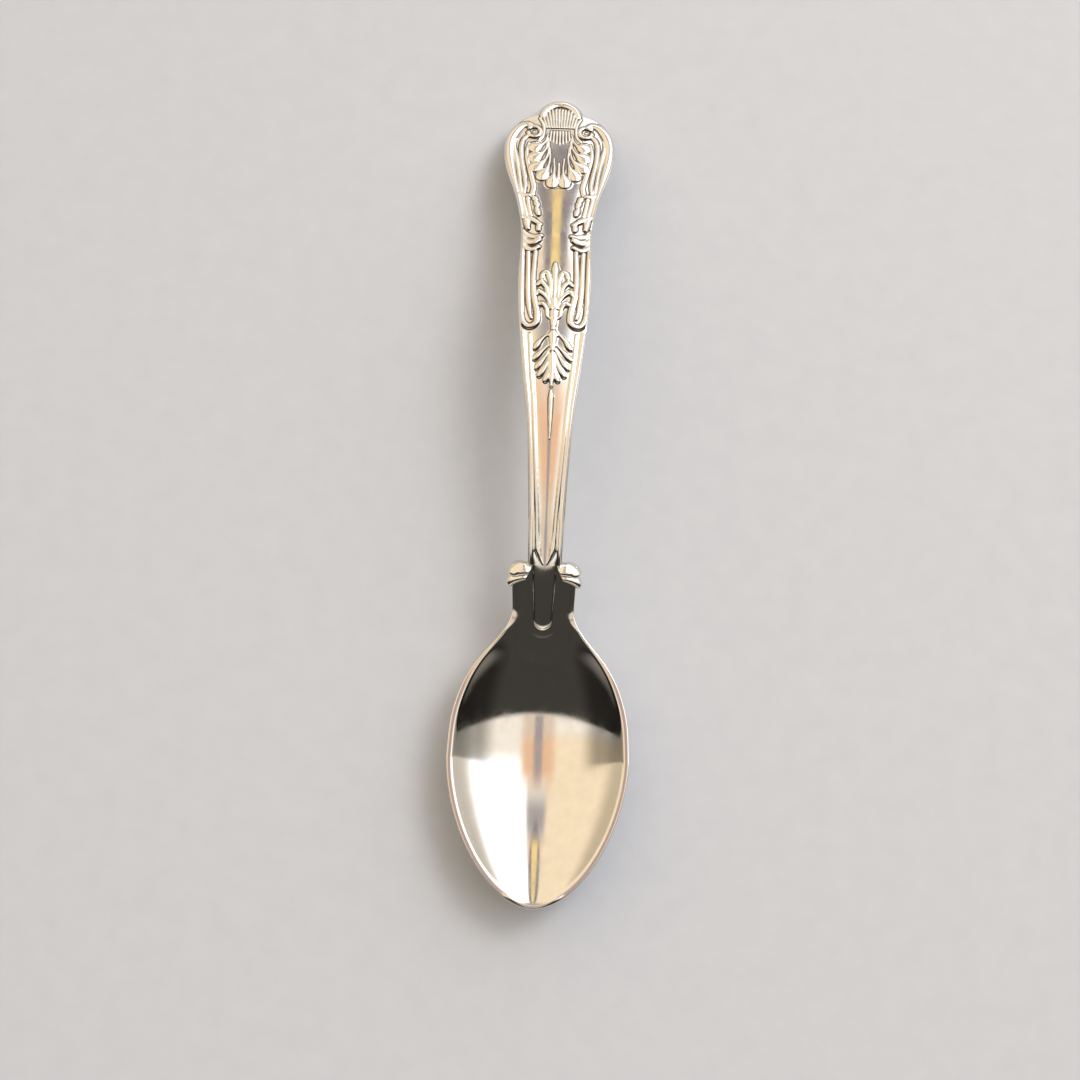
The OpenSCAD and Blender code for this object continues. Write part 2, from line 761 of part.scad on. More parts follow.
module lower_anthemion() {
    half = lower_leaf_w / 2;
    head = end_at - thread_w / 2;
    color("whitesmoke")
        difference() {
            union() {
                both_sides()
                    for (shares = lower_leaf_shares)
                        rib(stroke(
                            boxed(shares, half, head, -lower_leaf_len), leaf_share * lower_leaf_w,
                            relief_h, leaf_steps, leaf_width_shares, leaf_height_shares
                        ));
                rib(stroke(
                    [[0, head], [0, head - 0.36 * lower_leaf_len]], stalk_share * lower_leaf_w,
                    relief_h, flute_steps, [[0, 0.6], [0.5, 1], [1, 0.6]], [[0, 0.6], [0.5, 1], [1, 0.6]]
                ));
                rib(stroke(
                    [[0, head - 0.34 * lower_leaf_len], [0, head - lower_leaf_len]],
                    leaf_share * lower_leaf_w, 0.9 * relief_h, flute_steps,
                    [[0, 1], [0.5, 1], [1, 0.4]], [[0, 1], [0.5, 1], [1, 0.4]]
                ));
            }
            stem_form();
        }
}

// Slender drop that hangs under the lower anthemion
module bead_drop() {
    head = end_at - thread_w - lower_leaf_len;
    color("whitesmoke")
        difference() {
            rib(stroke(
                [[0, head], [0, head - bead_len]], thread_w, 0.9 * relief_h,
                leaf_steps, tear_shares, tear_shares
            ));
            stem_form();
        }
}

module stem_threads() {
    inner = stem_thread_shares[1] * thread_w;
    low = stem_at + neck_w / 3;
    color("whitesmoke")
        difference() {
            both_sides() {
                rib(thread(
                    stem_at, end_at, stem_thread_shares[0] * thread_w, 0.9 * thread_w, 0.6 * relief_h
                ));
                rib(concat(
                    [[thread_w / 3, stem_at + thread_w / 2, thread_w, 0.6 * relief_h]],
                    thread(low, end_at, inner, 0.8 * thread_w, 0.7 * relief_h)
                ));
            }
            stem_form();
        }
}

module back_shell() {
    color("whitesmoke")
        difference() {
            both_sides() lobes(-1, 0.8 * relief_h);
            end_form();
        }
}

module back_borders() {
    d = thread_shares[0] * thread_w;
    color("whitesmoke")
        difference() {
            both_sides() {
                rib(thread(
                    tip_at - 1.9 * head_shoulder_back, end_at, d, thread_w, 0.7 * relief_h, 2 * thread_steps
                ), -1);
            }
            end_form();
        }
}

module back_stem_threads() {
    color("whitesmoke")
        difference() {
            both_sides() {
                rib(thread(
                    stem_at, end_at, thread_shares[0] * thread_w, 0.8 * thread_w, 0.6 * relief_h,
                    thread_steps - 3
                ), -1);
            }
            stem_form();
        }
}

bowl();
drop();
neck();
neck_ridge();
shoulder_curls();
stem();
handle_end();
shell();
scroll_borders();
ribbon_bands();
upper_anthemion();
lower_anthemion();
bead_drop();
stem_threads();
back_shell();
back_borders();
back_stem_threads();
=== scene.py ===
"""Teaspoon with a struck shell-and-scroll handle, laid on a pale table."""

import math

import bpy
import numpy as np
from mathutils import Matrix, Vector


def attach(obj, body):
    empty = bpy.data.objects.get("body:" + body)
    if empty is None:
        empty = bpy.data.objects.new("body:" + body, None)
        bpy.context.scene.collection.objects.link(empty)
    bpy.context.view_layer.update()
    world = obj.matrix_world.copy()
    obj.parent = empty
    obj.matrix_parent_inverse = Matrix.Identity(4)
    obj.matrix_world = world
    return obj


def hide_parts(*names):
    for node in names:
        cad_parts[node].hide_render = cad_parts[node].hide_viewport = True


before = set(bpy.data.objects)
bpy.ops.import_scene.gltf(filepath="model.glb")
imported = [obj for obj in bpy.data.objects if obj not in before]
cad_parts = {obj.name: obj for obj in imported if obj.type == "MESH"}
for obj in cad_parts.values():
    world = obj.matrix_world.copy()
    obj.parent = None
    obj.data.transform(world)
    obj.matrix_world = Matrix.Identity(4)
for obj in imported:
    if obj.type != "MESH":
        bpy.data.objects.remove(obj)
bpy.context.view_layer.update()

# Camera. It looks down on the spoon from the bowl's side, a little turned, so the handle leans
# to the right. All lengths in this script are in millimetres, and MM turns them into metres.
MM = 0.001
CAMERA_TARGET = Vector((-0.9, -8.12, 0)) * MM
CAMERA_DISTANCE = 330 * MM
CAMERA_ELEVATION = math.radians(80)
CAMERA_ROLL = math.radians(2.09)
CAMERA_LENS, SENSOR_WIDTH = 66.07, 36
CLIP_NEAR = 10 * MM

back = Vector((0, -math.cos(CAMERA_ELEVATION), math.sin(CAMERA_ELEVATION)))
level_up = Vector((0, math.sin(CAMERA_ELEVATION), math.cos(CAMERA_ELEVATION)))
level_right = Vector((1, 0, 0))
up = math.cos(CAMERA_ROLL) * level_up - math.sin(CAMERA_ROLL) * level_right
right = math.cos(CAMERA_ROLL) * level_right + math.sin(CAMERA_ROLL) * level_up
bpy.ops.object.select_all(action="DESELECT")
bpy.ops.object.camera_add()
camera = bpy.context.object
camera.name = "camera"
camera.data.lens = CAMERA_LENS
camera.data.sensor_width = SENSOR_WIDTH
camera.data.clip_start = CLIP_NEAR
place = Matrix((right, up, back)).transposed().to_4x4()
place.translation = CAMERA_TARGET + CAMERA_DISTANCE * back
camera.matrix_world = place
bpy.context.scene.camera = camera
bpy.context.scene.view_settings.view_transform = "Standard"


# Table. A pale board with matt paint, wide enough that only low views see its edge. The paint
# gives the eye an even, dull ground without highlights. Its fine tooth, about 0.1 mm, is too small
# to show, so it is drawn as soft mottling of a few millimetres.
def linear(colour):
    """Linear red, green, blue and alpha of a colour written as #RRGGBB."""
    shares = [int(colour[i : i + 2], 16) / 255 for i in (1, 3, 5)]
    return [s / 12.92 if s <= 0.04045 else ((s + 0.055) / 1.055) ** 2.4 for s in shares] + [1]


def add_node(tree, kind, inputs=(), **settings):
    """Adds a node with its settings; inputs gives each socket a value or another node's socket."""
    made = tree.nodes.new(kind)
    for name, value in settings.items():
        setattr(made, name, value)
    for socket, value in dict(inputs).items():
        if isinstance(value, bpy.types.NodeSocket):
            tree.links.new(value, made.inputs[socket])
        else:
            made.inputs[socket].default_value = value
    return made


def new_material(name):
    """An empty material and its shader, joined to the output."""
    made = bpy.data.materials.new(name)
    made.use_nodes = True
    made.node_tree.nodes.clear()
    shader = add_node(made.node_tree, "ShaderNodeBsdfPrincipled")
    add_node(made.node_tree, "ShaderNodeOutputMaterial", {"Surface": shader.outputs["BSDF"]})
    return made, made.node_tree, shader


TABLE_SIZE = 2400 * MM
TABLE_MOTTLE = 4 * MM

table_board, tree, shader = new_material("matt_painted_board")
spot = add_node(tree, "ShaderNodeTexCoord")
mottle = add_node(
    tree, "ShaderNodeTexNoise",
    {"Vector": spot.outputs["Object"], "Scale": 1 / TABLE_MOTTLE, "Detail": 3},
)
tone = add_node(
    tree, "ShaderNodeMix",
    {0: mottle.outputs["Fac"], 6: linear("#C9CED6"), 7: linear("#D2D6DD")},
    data_type="RGBA",
)
tree.links.new(tone.outputs[2], shader.inputs["Base Color"])
shader.inputs["Roughness"].default_value = 0.8
shader.inputs["Specular IOR Level"].default_value = 0.2

bpy.ops.mesh.primitive_plane_add(size=TABLE_SIZE)
table = bpy.context.object
table.name = "table"
table.data.materials.append(table_board)

# Light. A warm white ceiling of soft boxes, and what polished metal mirrors from around the table:
# a dark flag on the bowl's side, a cooler window at the right, a cream wall at the left with a
# narrow grey gap and an amber strip beside it, dim side walls, and a peach glow with a grey slit
# along the middle. One soft lamp throws the shadow to the left.
WARM_WHITE, CREAM, WINDOW = "#FFF7EB", "#FFEBCC", "#F6F9FF"
PEACH, TAN, AMBER, GAP_GREY = "#F4C8A4", "#E6D3BF", "#FFE19C", "#A8A0A4"
ROOM_LEVEL = 1.12
DEGREES = math.degrees(1)
GAP_SPREAD = 0.2
SCREEN_MOST, BLUSH_MOST = 0.75, 0.7

sky = bpy.data.worlds.new("studio")
bpy.context.scene.world = sky
sky.use_nodes = True
room = sky.node_tree
room.nodes.clear()
way = add_node(room, "ShaderNodeTexCoord")
axes = add_node(room, "ShaderNodeSeparateXYZ", {0: way.outputs["Generated"]}).outputs

# Directions in degrees from straight up: towards the bowl's side, towards the tip of the handle,
# to the right, and to either side.
along = add_node(room, "ShaderNodeMath", {0: axes["Y"], 1: axes["Z"]}, operation="ARCTAN2").outputs[0]
across = add_node(room, "ShaderNodeMath", {0: axes["X"], 1: axes["Z"]}, operation="ARCTAN2").outputs[0]
toward_bowl = add_node(room, "ShaderNodeMath", {0: along, 1: -DEGREES}, operation="MULTIPLY").outputs[0]
to_tip = add_node(room, "ShaderNodeMath", {0: along, 1: DEGREES}, operation="MULTIPLY").outputs[0]
sideways = add_node(room, "ShaderNodeMath", {0: across, 1: DEGREES}, operation="MULTIPLY").outputs[0]
aside = add_node(room, "ShaderNodeMath", {0: sideways}, operation="ABSOLUTE").outputs[0]
beside_gap = add_node(
    room, "ShaderNodeMath", {0: to_tip, 1: -GAP_SPREAD, 2: aside}, operation="MULTIPLY_ADD"
).outputs[0]


def soft_zone(*edges, most=1.0):
    """A share that is most inside a zone of the room and 0 outside it. Each edge is a direction
    with the degrees where the zone starts and where it is full."""
    share = most
    for direction, start, full in edges:
        edge = add_node(
            room, "ShaderNodeMapRange",
            {"Value": direction, "From Min": start, "From Max": full}, interpolation_type="SMOOTHSTEP",
        )
        product = {0: edge.outputs["Result"], 1: share}
        share = add_node(room, "ShaderNodeMath", product, operation="MULTIPLY").outputs[0]
    return share


def larger(first, *others):
    """The larger share where zones overlap."""
    for other in others:
        first = add_node(room, "ShaderNodeMath", {0: first, 1: other}, operation="MAXIMUM").outputs[0]
    return first


# The zones, with the degrees that place each reflection on the spoon. The colours are laid over
# one another, and the gains dim or brighten the white of the room.
side_walls = soft_zone((aside, 40, 64), (to_tip, 16, 0))
far_walls = soft_zone((aside, 66, 84))
flag = soft_zone((toward_bowl, 17, 21), (toward_bowl, 76, 60))
window = soft_zone((to_tip, -3, 4), (sideways, 5, 9), (sideways, 78, 66))
cream_wall = soft_zone((to_tip, -14, -6), (sideways, -5, -9))
screen = soft_zone((to_tip, 8, 22), (to_tip, 40, 26), (aside, 11, 4), most=SCREEN_MOST)
gap = larger(soft_zone((to_tip, 8, 20), (to_tip, 68, 66.8), (beside_gap, -2.5, -5)), screen)
strip = soft_zone((to_tip, 30, 38), (to_tip, 64, 61), (aside, 2.5, 1.9))
glow = soft_zone((toward_bowl, -16, -4), (toward_bowl, 19, 17), (aside, 18, 8))
slit = soft_zone((toward_bowl, -16, -4), (toward_bowl, 19, 17), (aside, 3.2, 1.2))
blush = soft_zone((to_tip, 28, 38), (to_tip, 52, 42), (aside, 11, 4))
glow_fade = {0: soft_zone((toward_bowl, 4, 13)), 6: linear(PEACH), 7: linear(TAN)}
glow_colour = add_node(room, "ShaderNodeMix", glow_fade, data_type="RGBA").outputs[2]

hue = linear(WARM_WHITE)
for zone, most, colour in (
    (cream_wall, 1, linear(CREAM)),
    (window, 1, linear(WINDOW)),
    (blush, BLUSH_MOST, linear(PEACH)),
    (glow, 1, glow_colour),
    (larger(gap, slit), 1, linear(GAP_GREY)),
    (strip, 1, linear(AMBER)),
):
    share = add_node(room, "ShaderNodeMath", {0: zone, 1: most}, operation="MULTIPLY").outputs[0]
    hue = add_node(room, "ShaderNodeMix", {0: share, 6: hue, 7: colour}, data_type="RGBA").outputs[2]

gap_beside_strip = add_node(room, "ShaderNodeMath", {0: gap, 1: strip}, operation="SUBTRACT").outputs[0]
shut = larger(glow, blush, screen)
unshut = add_node(room, "ShaderNodeMath", {0: 1.0, 1: shut}, operation="SUBTRACT").outputs[0]
open_window = add_node(room, "ShaderNodeMath", {0: window, 1: unshut}, operation="MULTIPLY").outputs[0]
level = ROOM_LEVEL
for zone, gain in (
    (side_walls, -0.62), (far_walls, -0.4), (flag, -0.95), (gap_beside_strip, -0.25), (open_window, 0.7),
):
    gained = add_node(room, "ShaderNodeMath", {0: zone, 1: gain, 2: 1.0}, operation="MULTIPLY_ADD")
    level = add_node(
        room, "ShaderNodeMath", {0: gained.outputs[0], 1: level}, operation="MULTIPLY"
    ).outputs[0]
backdrop = add_node(room, "ShaderNodeBackground", {"Color": hue, "Strength": level})
add_node(room, "ShaderNodeOutputWorld", {"Surface": backdrop.outputs["Background"]})

KEY_POWER = 2.2
KEY_SIZE = 350 * MM
KEY_AT = Vector((420, 340, 620)) * MM
bpy.ops.object.light_add(type="AREA", location=KEY_AT)
key = bpy.context.object
key.name = "key_lamp"
key.data.shape = "DISK"
key.data.size = KEY_SIZE
key.data.energy = KEY_POWER
key.data.color = linear("#FFF6EC")[:3]
key.rotation_euler = KEY_AT.to_track_quat("Z", "Y").to_euler()


# Blank of the bowl and the neck. Polished stainless steel, pressed in one piece with the handle:
# a dish with an even wall and a flat land on its rim, which thickens into the crowned neck.
# Places are distances from the tip of the bowl.
TIP_AT = 137.0
BOWL_LEN, BOWL_W, BOWL_WIDE_AT = 47.0, 29.3, 23.5
BOWL_DEPTH, BOWL_WALL = 6.0, 1.2
RIM_LAND, RIM_EDGE, RIM_RISE, WEAR_FLAT = 0.9, 0.5, 1.8, 0.1
RIM_ROUND, RIM_FOOT_ROUND, RIM_SOFTNESS = 0.2, 0.15, 0.1
NECK_LEN, NECK_W, SHOULDER_W, NECK_T, NECK_EDGE = 7.3, 9.9, 10.6, 2.8, 1.7
STEM_LEN, STEM_W, STEM_T = 37.5, 5.6, 3.2
SWELL_W, WAIST_W, HEAD_W = 12.04, 11.64, 18.64
SWELL_BACK, WAIST_BACK, HEAD_BACK, FAN_R, HEAD_SHOULDER_BACK = 36.2, 28.9, 11.0, 4.0, 2.7
END_T, CREST_T, ARCH_H, CREST_AT = 1.9, 2.5, 16.0, 41.0

NECK_AT = BOWL_LEN
STEM_AT = NECK_AT + NECK_LEN
END_AT = STEM_AT + STEM_LEN
CREST_PLACE = NECK_AT + CREST_AT
SWELL_AT = TIP_AT - SWELL_BACK
WAIST_AT = TIP_AT - WAIST_BACK
HEAD_AT = TIP_AT - HEAD_BACK
RIM_Z = BOWL_DEPTH + BOWL_WALL - WEAR_FLAT
NECK_Z = RIM_Z + RIM_RISE
NECK_CROWN, HANDLE_CROWN = 0.5, 0.3
NECK_BELLY, BELLY_FROM = 0.6, NECK_AT + 1.5
NECK_CROWN_ROWS = [(NECK_AT + 1.4, -0.47), (NECK_AT + 4, -NECK_CROWN), (NECK_AT + 12, -NECK_CROWN)]
HANDLE_LAND = 0.45
EDGE_SHARE = 0.62
TIP_POWER, TIP_ROUND, HEAD_POWER, DISH_POWER = 1.75, 0.55, 2.45, 2.3
CROWN_SHARE = 0.05
ROOT_FROM, ROOT_TO = BOWL_LEN - 7.5, BOWL_LEN + 2.5
LAND_FROM, LAND_TO = 0.72 * BOWL_LEN, 0.96 * BOWL_LEN
DISH_TURNS_AT = 36.0
WALL_TAPER, SOFT_TIP, TABLE_SOFTNESS = 3.0, 4.0, 0.02

SHOULDER_SHARES = [
    (0, 1), (0.13, 0.985), (0.27, 0.954), (0.4, 0.877), (0.54, 0.745),
    (0.68, 0.53), (0.81, 0.25), (0.88, 0.115), (0.95, 0.022), (1, 0),
]
DISH_SHARES = [
    (0, 0), (0.05, 0.21), (0.12, 0.46), (0.21, 0.71), (0.32, 0.9), (0.44, 0.99), (0.52, 0.995),
    (0.6, 0.955), (0.7, 0.83), (0.81, 0.56), (0.9, 0.24), (0.96, 0.04), (1, -CROWN_SHARE),
]
RIM_SHARES = [(0, 0.12), (0.2, 0.01), (0.45, 0), (0.65, 0.12), (0.8, 0.35), (0.92, 0.7), (1, 1)]
RISE_SHARES = [
    (0, 0), (0.1, 0.195), (0.18, 0.365), (0.32, 0.56), (0.49, 0.755), (0.68, 0.915), (0.85, 0.985),
    (1, 1),
]
FALL_SHARES = [(0, 1), (0.15, 0.965), (0.35, 0.83), (0.55, 0.62), (0.75, 0.36), (0.9, 0.145), (1, 0)]
FAIRING = 1.1
FINE_STEP = 0.05


def mix(a, b, k):
    """The value a share k of the way from a to b."""
    return a + (b - a) * k


def ease(value, start, end):
    """0 before start, 1 past end, smooth between."""
    k = np.clip((value - start) / (end - start), 0, 1)
    return k * k * (3 - 2 * k)


def spread(shares, start, end, low, high):
    """Rows of shares turned into rows of places and values."""
    return [(mix(start, end, a), mix(low, high, b)) for a, b in shares]


def on_curve(rows, slope, i, h, k):
    """Where a smooth curve is a share k along span i of its rows; h is the length of the span."""
    return (
        rows[i] * (1 + 2 * k) * (1 - k) ** 2 + rows[i + 1] * k * k * (3 - 2 * k)
        + h * (slope[i] * k * (1 - k) ** 2 - slope[i + 1] * k * k * (1 - k))
    )


def fair_curve(rows, fairing=FAIRING):
    """The smooth curve through rows of place and value, faired so that reflections run clean."""
    x, y = np.array(rows, float).T
    slope = np.gradient(y, x)
    slope[1:-1] = (y[2:] - y[:-2]) / (x[2:] - x[:-2])
    fine = np.arange(x[0], x[-1] + FINE_STEP / 2, FINE_STEP)
    i = np.clip(np.searchsorted(x, fine, side="right") - 1, 0, len(x) - 2)
    h = x[i + 1] - x[i]
    value = on_curve(y, slope, i, h, (fine - x[i]) / h)
    reach = int(3 * fairing / FINE_STEP)
    if reach:
        padded = np.concatenate([
            2 * value[0] - value[reach:0:-1], value, 2 * value[-1] - value[-2 : -reach - 2 : -1],
        ])
        bell = np.exp(-0.5 * (np.arange(-reach, reach + 1) * FINE_STEP / fairing) ** 2)
        value = np.convolve(padded, bell / bell.sum(), "same")[reach:-reach]
    return lambda place: np.interp(place, fine, value)


edge_z = fair_curve(
    spread(RIM_SHARES, 0, NECK_AT, RIM_Z, NECK_Z)
    + spread(RISE_SHARES, NECK_AT, CREST_PLACE, NECK_Z, ARCH_H)[1:]
    + spread(FALL_SHARES, CREST_PLACE, TIP_AT, END_T - HANDLE_CROWN, ARCH_H)[1:]
)
shoulder_width = fair_curve(spread(SHOULDER_SHARES, BOWL_WIDE_AT, BOWL_LEN, NECK_W / 2, BOWL_W / 2))
dish_depth = fair_curve(
    spread(DISH_SHARES, RIM_LAND, BOWL_LEN, 0, BOWL_DEPTH)
    + NECK_CROWN_ROWS
)


def rooted(s):
    """How far the bowl has turned into the neck at a place."""
    return ease(s, ROOT_FROM, ROOT_TO)


def even_steps(points, count):
    """The same line with count equal steps along it."""
    run = np.concatenate([[0], np.cumsum(np.hypot(*np.diff(points, axis=0).T))])
    even = np.linspace(0, run[-1], count + 1)
    return np.stack([np.interp(even, run, points[:, i]) for i in (0, 1)], 1)


def inward(outline):
    """Unit normals of an outline of half width and place, pointing into the metal."""
    along = np.gradient(outline, axis=0)
    along /= np.linalg.norm(along, axis=1)[:, None]
    return np.stack([-along[:, 1], along[:, 0]], 1)


BOWL_ROWS, NECK_ROWS = 190, 34
NECK_END_ROUND = 0.3

turns = np.linspace(0, math.pi / 2, 1200)
bowl_tip = np.stack([
    BOWL_W / 2 * (1 - np.cos(turns) ** TIP_POWER) ** TIP_ROUND,
    BOWL_WIDE_AT * (1 - np.cos(turns)),
], 1)
places = np.linspace(BOWL_WIDE_AT, BOWL_LEN, 600)[1:]
bowl_outline = np.concatenate([bowl_tip, np.stack([shoulder_width(places), places], 1)])
bowl_outline = even_steps(bowl_outline, BOWL_ROWS)
neck_places = np.linspace(NECK_AT, STEM_AT - NECK_END_ROUND, NECK_ROWS)[1:]
end_turns = np.linspace(0, math.pi / 2, 7)[1:]
neck_places = np.concatenate([neck_places, STEM_AT - NECK_END_ROUND * (1 - np.sin(end_turns))])
neck_fall = np.concatenate([
    np.zeros(BOWL_ROWS + NECK_ROWS), NECK_END_ROUND * (1 - np.cos(end_turns)),
])
neck_half = mix(NECK_W, SHOULDER_W, (neck_places - NECK_AT) / NECK_LEN) / 2
neck_outline = np.stack([neck_half, neck_places], 1)
lower_outline = np.concatenate([bowl_outline, neck_outline])
lower_inward = inward(lower_outline)
lower_inward[0] = (0, 1)
lower_outline[:, 0] = np.maximum(lower_outline[:, 0] - neck_fall, 0)

lower_land = mix(RIM_LAND, HANDLE_LAND, ease(lower_outline[:, 1], LAND_FROM, LAND_TO))
lower_inner = lower_outline + lower_land[:, None] * lower_inward
lower_inner[0, 0] = 0
axis_share = np.linspace(0, 1, BOWL_ROWS + 1)
lower_axis = np.concatenate([mix(RIM_LAND, NECK_AT, axis_share), neck_places])


def inner_half(s):
    """Half width of the bowl and the neck inside their land."""
    return np.interp(s, lower_inner[:, 1], lower_inner[:, 0])


def outer_half(s):
    """Half width of the bowl and the neck."""
    return np.interp(s, lower_outline[:, 1], lower_outline[:, 0])


def dish_at(u, s):
    """Depth of the upper face under the rim; below 0 it is the crown of the neck."""
    t = np.clip(np.abs(u) / np.maximum(inner_half(s), 1e-6), 0, 1)
    power = mix(DISH_POWER, 2, ease(s, DISH_TURNS_AT, NECK_AT))
    return dish_depth(s) * (1 - t ** power)


def soft_floor(depth, s):
    """Rounds the inner edge of the rim's land, where the dish begins."""
    soft = (depth + np.sqrt(depth * depth + RIM_SOFTNESS**2)) / 2
    share = np.clip(dish_depth(np.minimum(s, NECK_AT)), 0, 1)
    share = np.where(s > BOWL_LEN - 0.01, 0, np.maximum(share, 1 - ease(s, 0, SOFT_TIP)))
    return mix(depth, soft, share)


def lower_back(u, s):
    """Height of the back of the bowl and the neck, which never sinks into the table."""
    root = rooted(s)
    rim = mix(RIM_EDGE, NECK_EDGE, root)
    wall = mix(BOWL_WALL, NECK_T, root) - rim
    start = 1 - (1 - np.clip(s / WALL_TAPER, 0, 1)) ** 2
    t = np.clip(np.abs(u) / np.maximum(outer_half(s) - RIM_FOOT_ROUND, 1e-6), 0, 1)
    z = edge_z(s) - rim - (wall * start + np.maximum(dish_depth(s), -wall)) * (1 - t ** DISH_POWER)
    belly = NECK_BELLY * ease(s, BELLY_FROM, STEM_AT)
    z = z - belly * np.clip(1 - (np.abs(u) / (STEM_W / 2)) ** DISH_POWER, 0, 1)
    return 0.5 * (z + np.sqrt(z * z + TABLE_SOFTNESS**2))


def mirrored(columns):
    """Columns from the middle to the edge, set after their mirror image."""
    left = [np.stack([-c[:, 0], c[:, 1], c[:, 2]], 1) for c in columns[:0:-1]]
    return left + columns


def ring_columns(
    outline, normals, inner, low_inner, axis, low_axis, top, low, edge, across, across_low
):
    """Columns of points that run once round the blank: over the upper face and back underneath."""
    upper = []
    for q in np.linspace(0, 1, across + 1):
        u, s = q * inner[:, 0], axis + (inner[:, 1] - axis) * q * q
        upper.append(np.stack([u, s, top(u, s)], 1))
    upper += edge(outline, normals, inner)
    under = []
    for q in np.linspace(1, 0, across_low + 1):
        u, s = q * low_inner[:, 0], low_axis + (low_inner[:, 1] - low_axis) * q * q
        under.append(np.stack([u, s, low(u, s)], 1))
    under_left = [np.stack([-c[:, 0], c[:, 1], c[:, 2]], 1) for c in under[-2::-1]]
    ring = mirrored(upper) + under + under_left
    ring.append(ring[0])
    return np.stack(ring, 1)


def smooth_normals(grid):
    """Normals of a closed ring grid, from its own run along and across."""
    wrapped = np.concatenate([grid[:, -2:-1], grid, grid[:, 1:2]], 1)
    across = wrapped[:, 2:] - wrapped[:, :-2]
    along = np.gradient(grid, axis=0)
    normal = np.cross(across, along)
    length = np.linalg.norm(normal, axis=2)[:, :, None]
    return normal / np.maximum(length, 1e-12)


def grid_piece(name, grid, normals=None):
    """A mesh laid over a grid of points: rows along the spoon, columns round or across it."""
    rows, columns = grid.shape[:2]
    bpy.ops.object.select_all(action="DESELECT")
    bpy.ops.mesh.primitive_grid_add(x_subdivisions=columns - 1, y_subdivisions=rows - 1, size=1)
    piece = bpy.context.object
    piece.name = piece.data.name = name
    laid = grid.reshape(-1, 3) * MM
    laid[:, 1] -= TIP_AT / 2 * MM
    piece.data.vertices.foreach_set("co", laid.astype(np.float32).ravel())
    if normals is not None:
        kept = piece.data.attributes.new("true_normal", "FLOAT_VECTOR", "POINT")
        kept.data.foreach_set("vector", normals.astype(np.float32).ravel())
    piece.data.update()
    return piece


def close_blank(piece):
    """Joins the seam, fills the ends and gives the mesh the normals of the whole spoon."""
    bpy.ops.object.mode_set(mode="EDIT")
    bpy.ops.mesh.select_all(action="SELECT")
    bpy.ops.mesh.remove_doubles(threshold=1e-6)
    bpy.ops.mesh.fill_holes(sides=0)
    bpy.ops.mesh.normals_make_consistent(inside=False)
    bpy.ops.mesh.select_all(action="DESELECT")
    bpy.ops.object.mode_set(mode="OBJECT")
    bpy.ops.object.shade_smooth()
    mesh = piece.data
    kept = np.zeros(len(mesh.vertices) * 3, np.float32)
    mesh.attributes["true_normal"].data.foreach_get("vector", kept)
    kept = kept.reshape(-1, 3)
    corners = np.zeros(len(mesh.loops), np.int32)
    mesh.loops.foreach_get("vertex_index", corners)
    wanted = kept[corners]
    for face in mesh.polygons:
        if len(face.vertices) > 4:
            wanted[list(face.loop_indices)] = face.normal
    mesh.normals_split_custom_set(wanted.tolist())
    mesh.attributes.remove(mesh.attributes["true_normal"])
    return piece


LAND_SHARES = (0.2, 0.4, 0.7)
FOOT_SINK = 0.2 * RIM_FOOT_ROUND


def rim_columns(outline, normals, inner):
    """The land of the rim, its rounded edge, its upright side and the round under it."""
    s_inner = inner[:, 1]
    inside = inner + FINE_STEP * normals
    slope = dish_at(inside[:, 0], inside[:, 1]) / FINE_STEP
    land = np.hypot(*(inner - outline).T)
    columns = []
    for share in LAND_SHARES:
        d = mix(land, RIM_ROUND, share)
        place = outline + d[:, None] * normals
        depth = soft_floor(-slope * (land - d), s_inner)
        z = edge_z(place[:, 1]) - depth - neck_fall
        columns.append(np.stack([place[:, 0], place[:, 1], z], 1))
    flat = edge_z(outline[:, 1])
    for a in np.linspace(0, math.pi / 2, 6):
        place = outline + RIM_ROUND * (1 - math.sin(a)) * normals
        fall = RIM_ROUND * (1 - math.cos(a))
        columns.append(np.stack([place[:, 0], place[:, 1], flat - fall - neck_fall], 1))
    root = rooted(outline[:, 1])
    foot = flat - mix(RIM_EDGE, NECK_EDGE, root)
    for a in np.linspace(0, math.pi / 2, 4):
        place = outline + RIM_FOOT_ROUND * (1 - math.cos(a)) * normals
        rise = RIM_FOOT_ROUND * (1 - math.sin(a)) - FOOT_SINK
        columns.append(np.stack([place[:, 0], place[:, 1], foot + rise], 1))
    return columns


def lower_top(u, s):
    """Height of the upper face of the bowl and the neck."""
    return edge_z(s) - soft_floor(dish_at(u, s), s)


def lower_top_rows(u, s):
    """Upper face on the rows of the grid, with the round at the end of the neck."""
    return lower_top(u, s) - neck_fall


low_inner = lower_outline + RIM_FOOT_ROUND * lower_inward
low_inner[0, 0] = 0
low_axis = np.concatenate([mix(RIM_FOOT_ROUND, NECK_AT, axis_share), neck_places])
lower_grid = ring_columns(
    lower_outline, lower_inward, lower_inner, low_inner, lower_axis, low_axis,
    top=lower_top_rows, low=lower_back, edge=rim_columns, across=64, across_low=44,
)
lower_normals = smooth_normals(lower_grid)

# The metal of the blank is stainless steel, pressed and mirror-polished on soft mops. That gives
# the eye sharp, nearly colourless reflections that swim a little, with the faintest haze. The
# marks of the mop, about 0.02 mm apart, are too fine to show and drawn at 0.12 mm.
POLISH_HAZE, POLISH_WAVE, BUFF_MARK = 2.2, 5.5, 0.12
MARK_STRETCH = 0.03

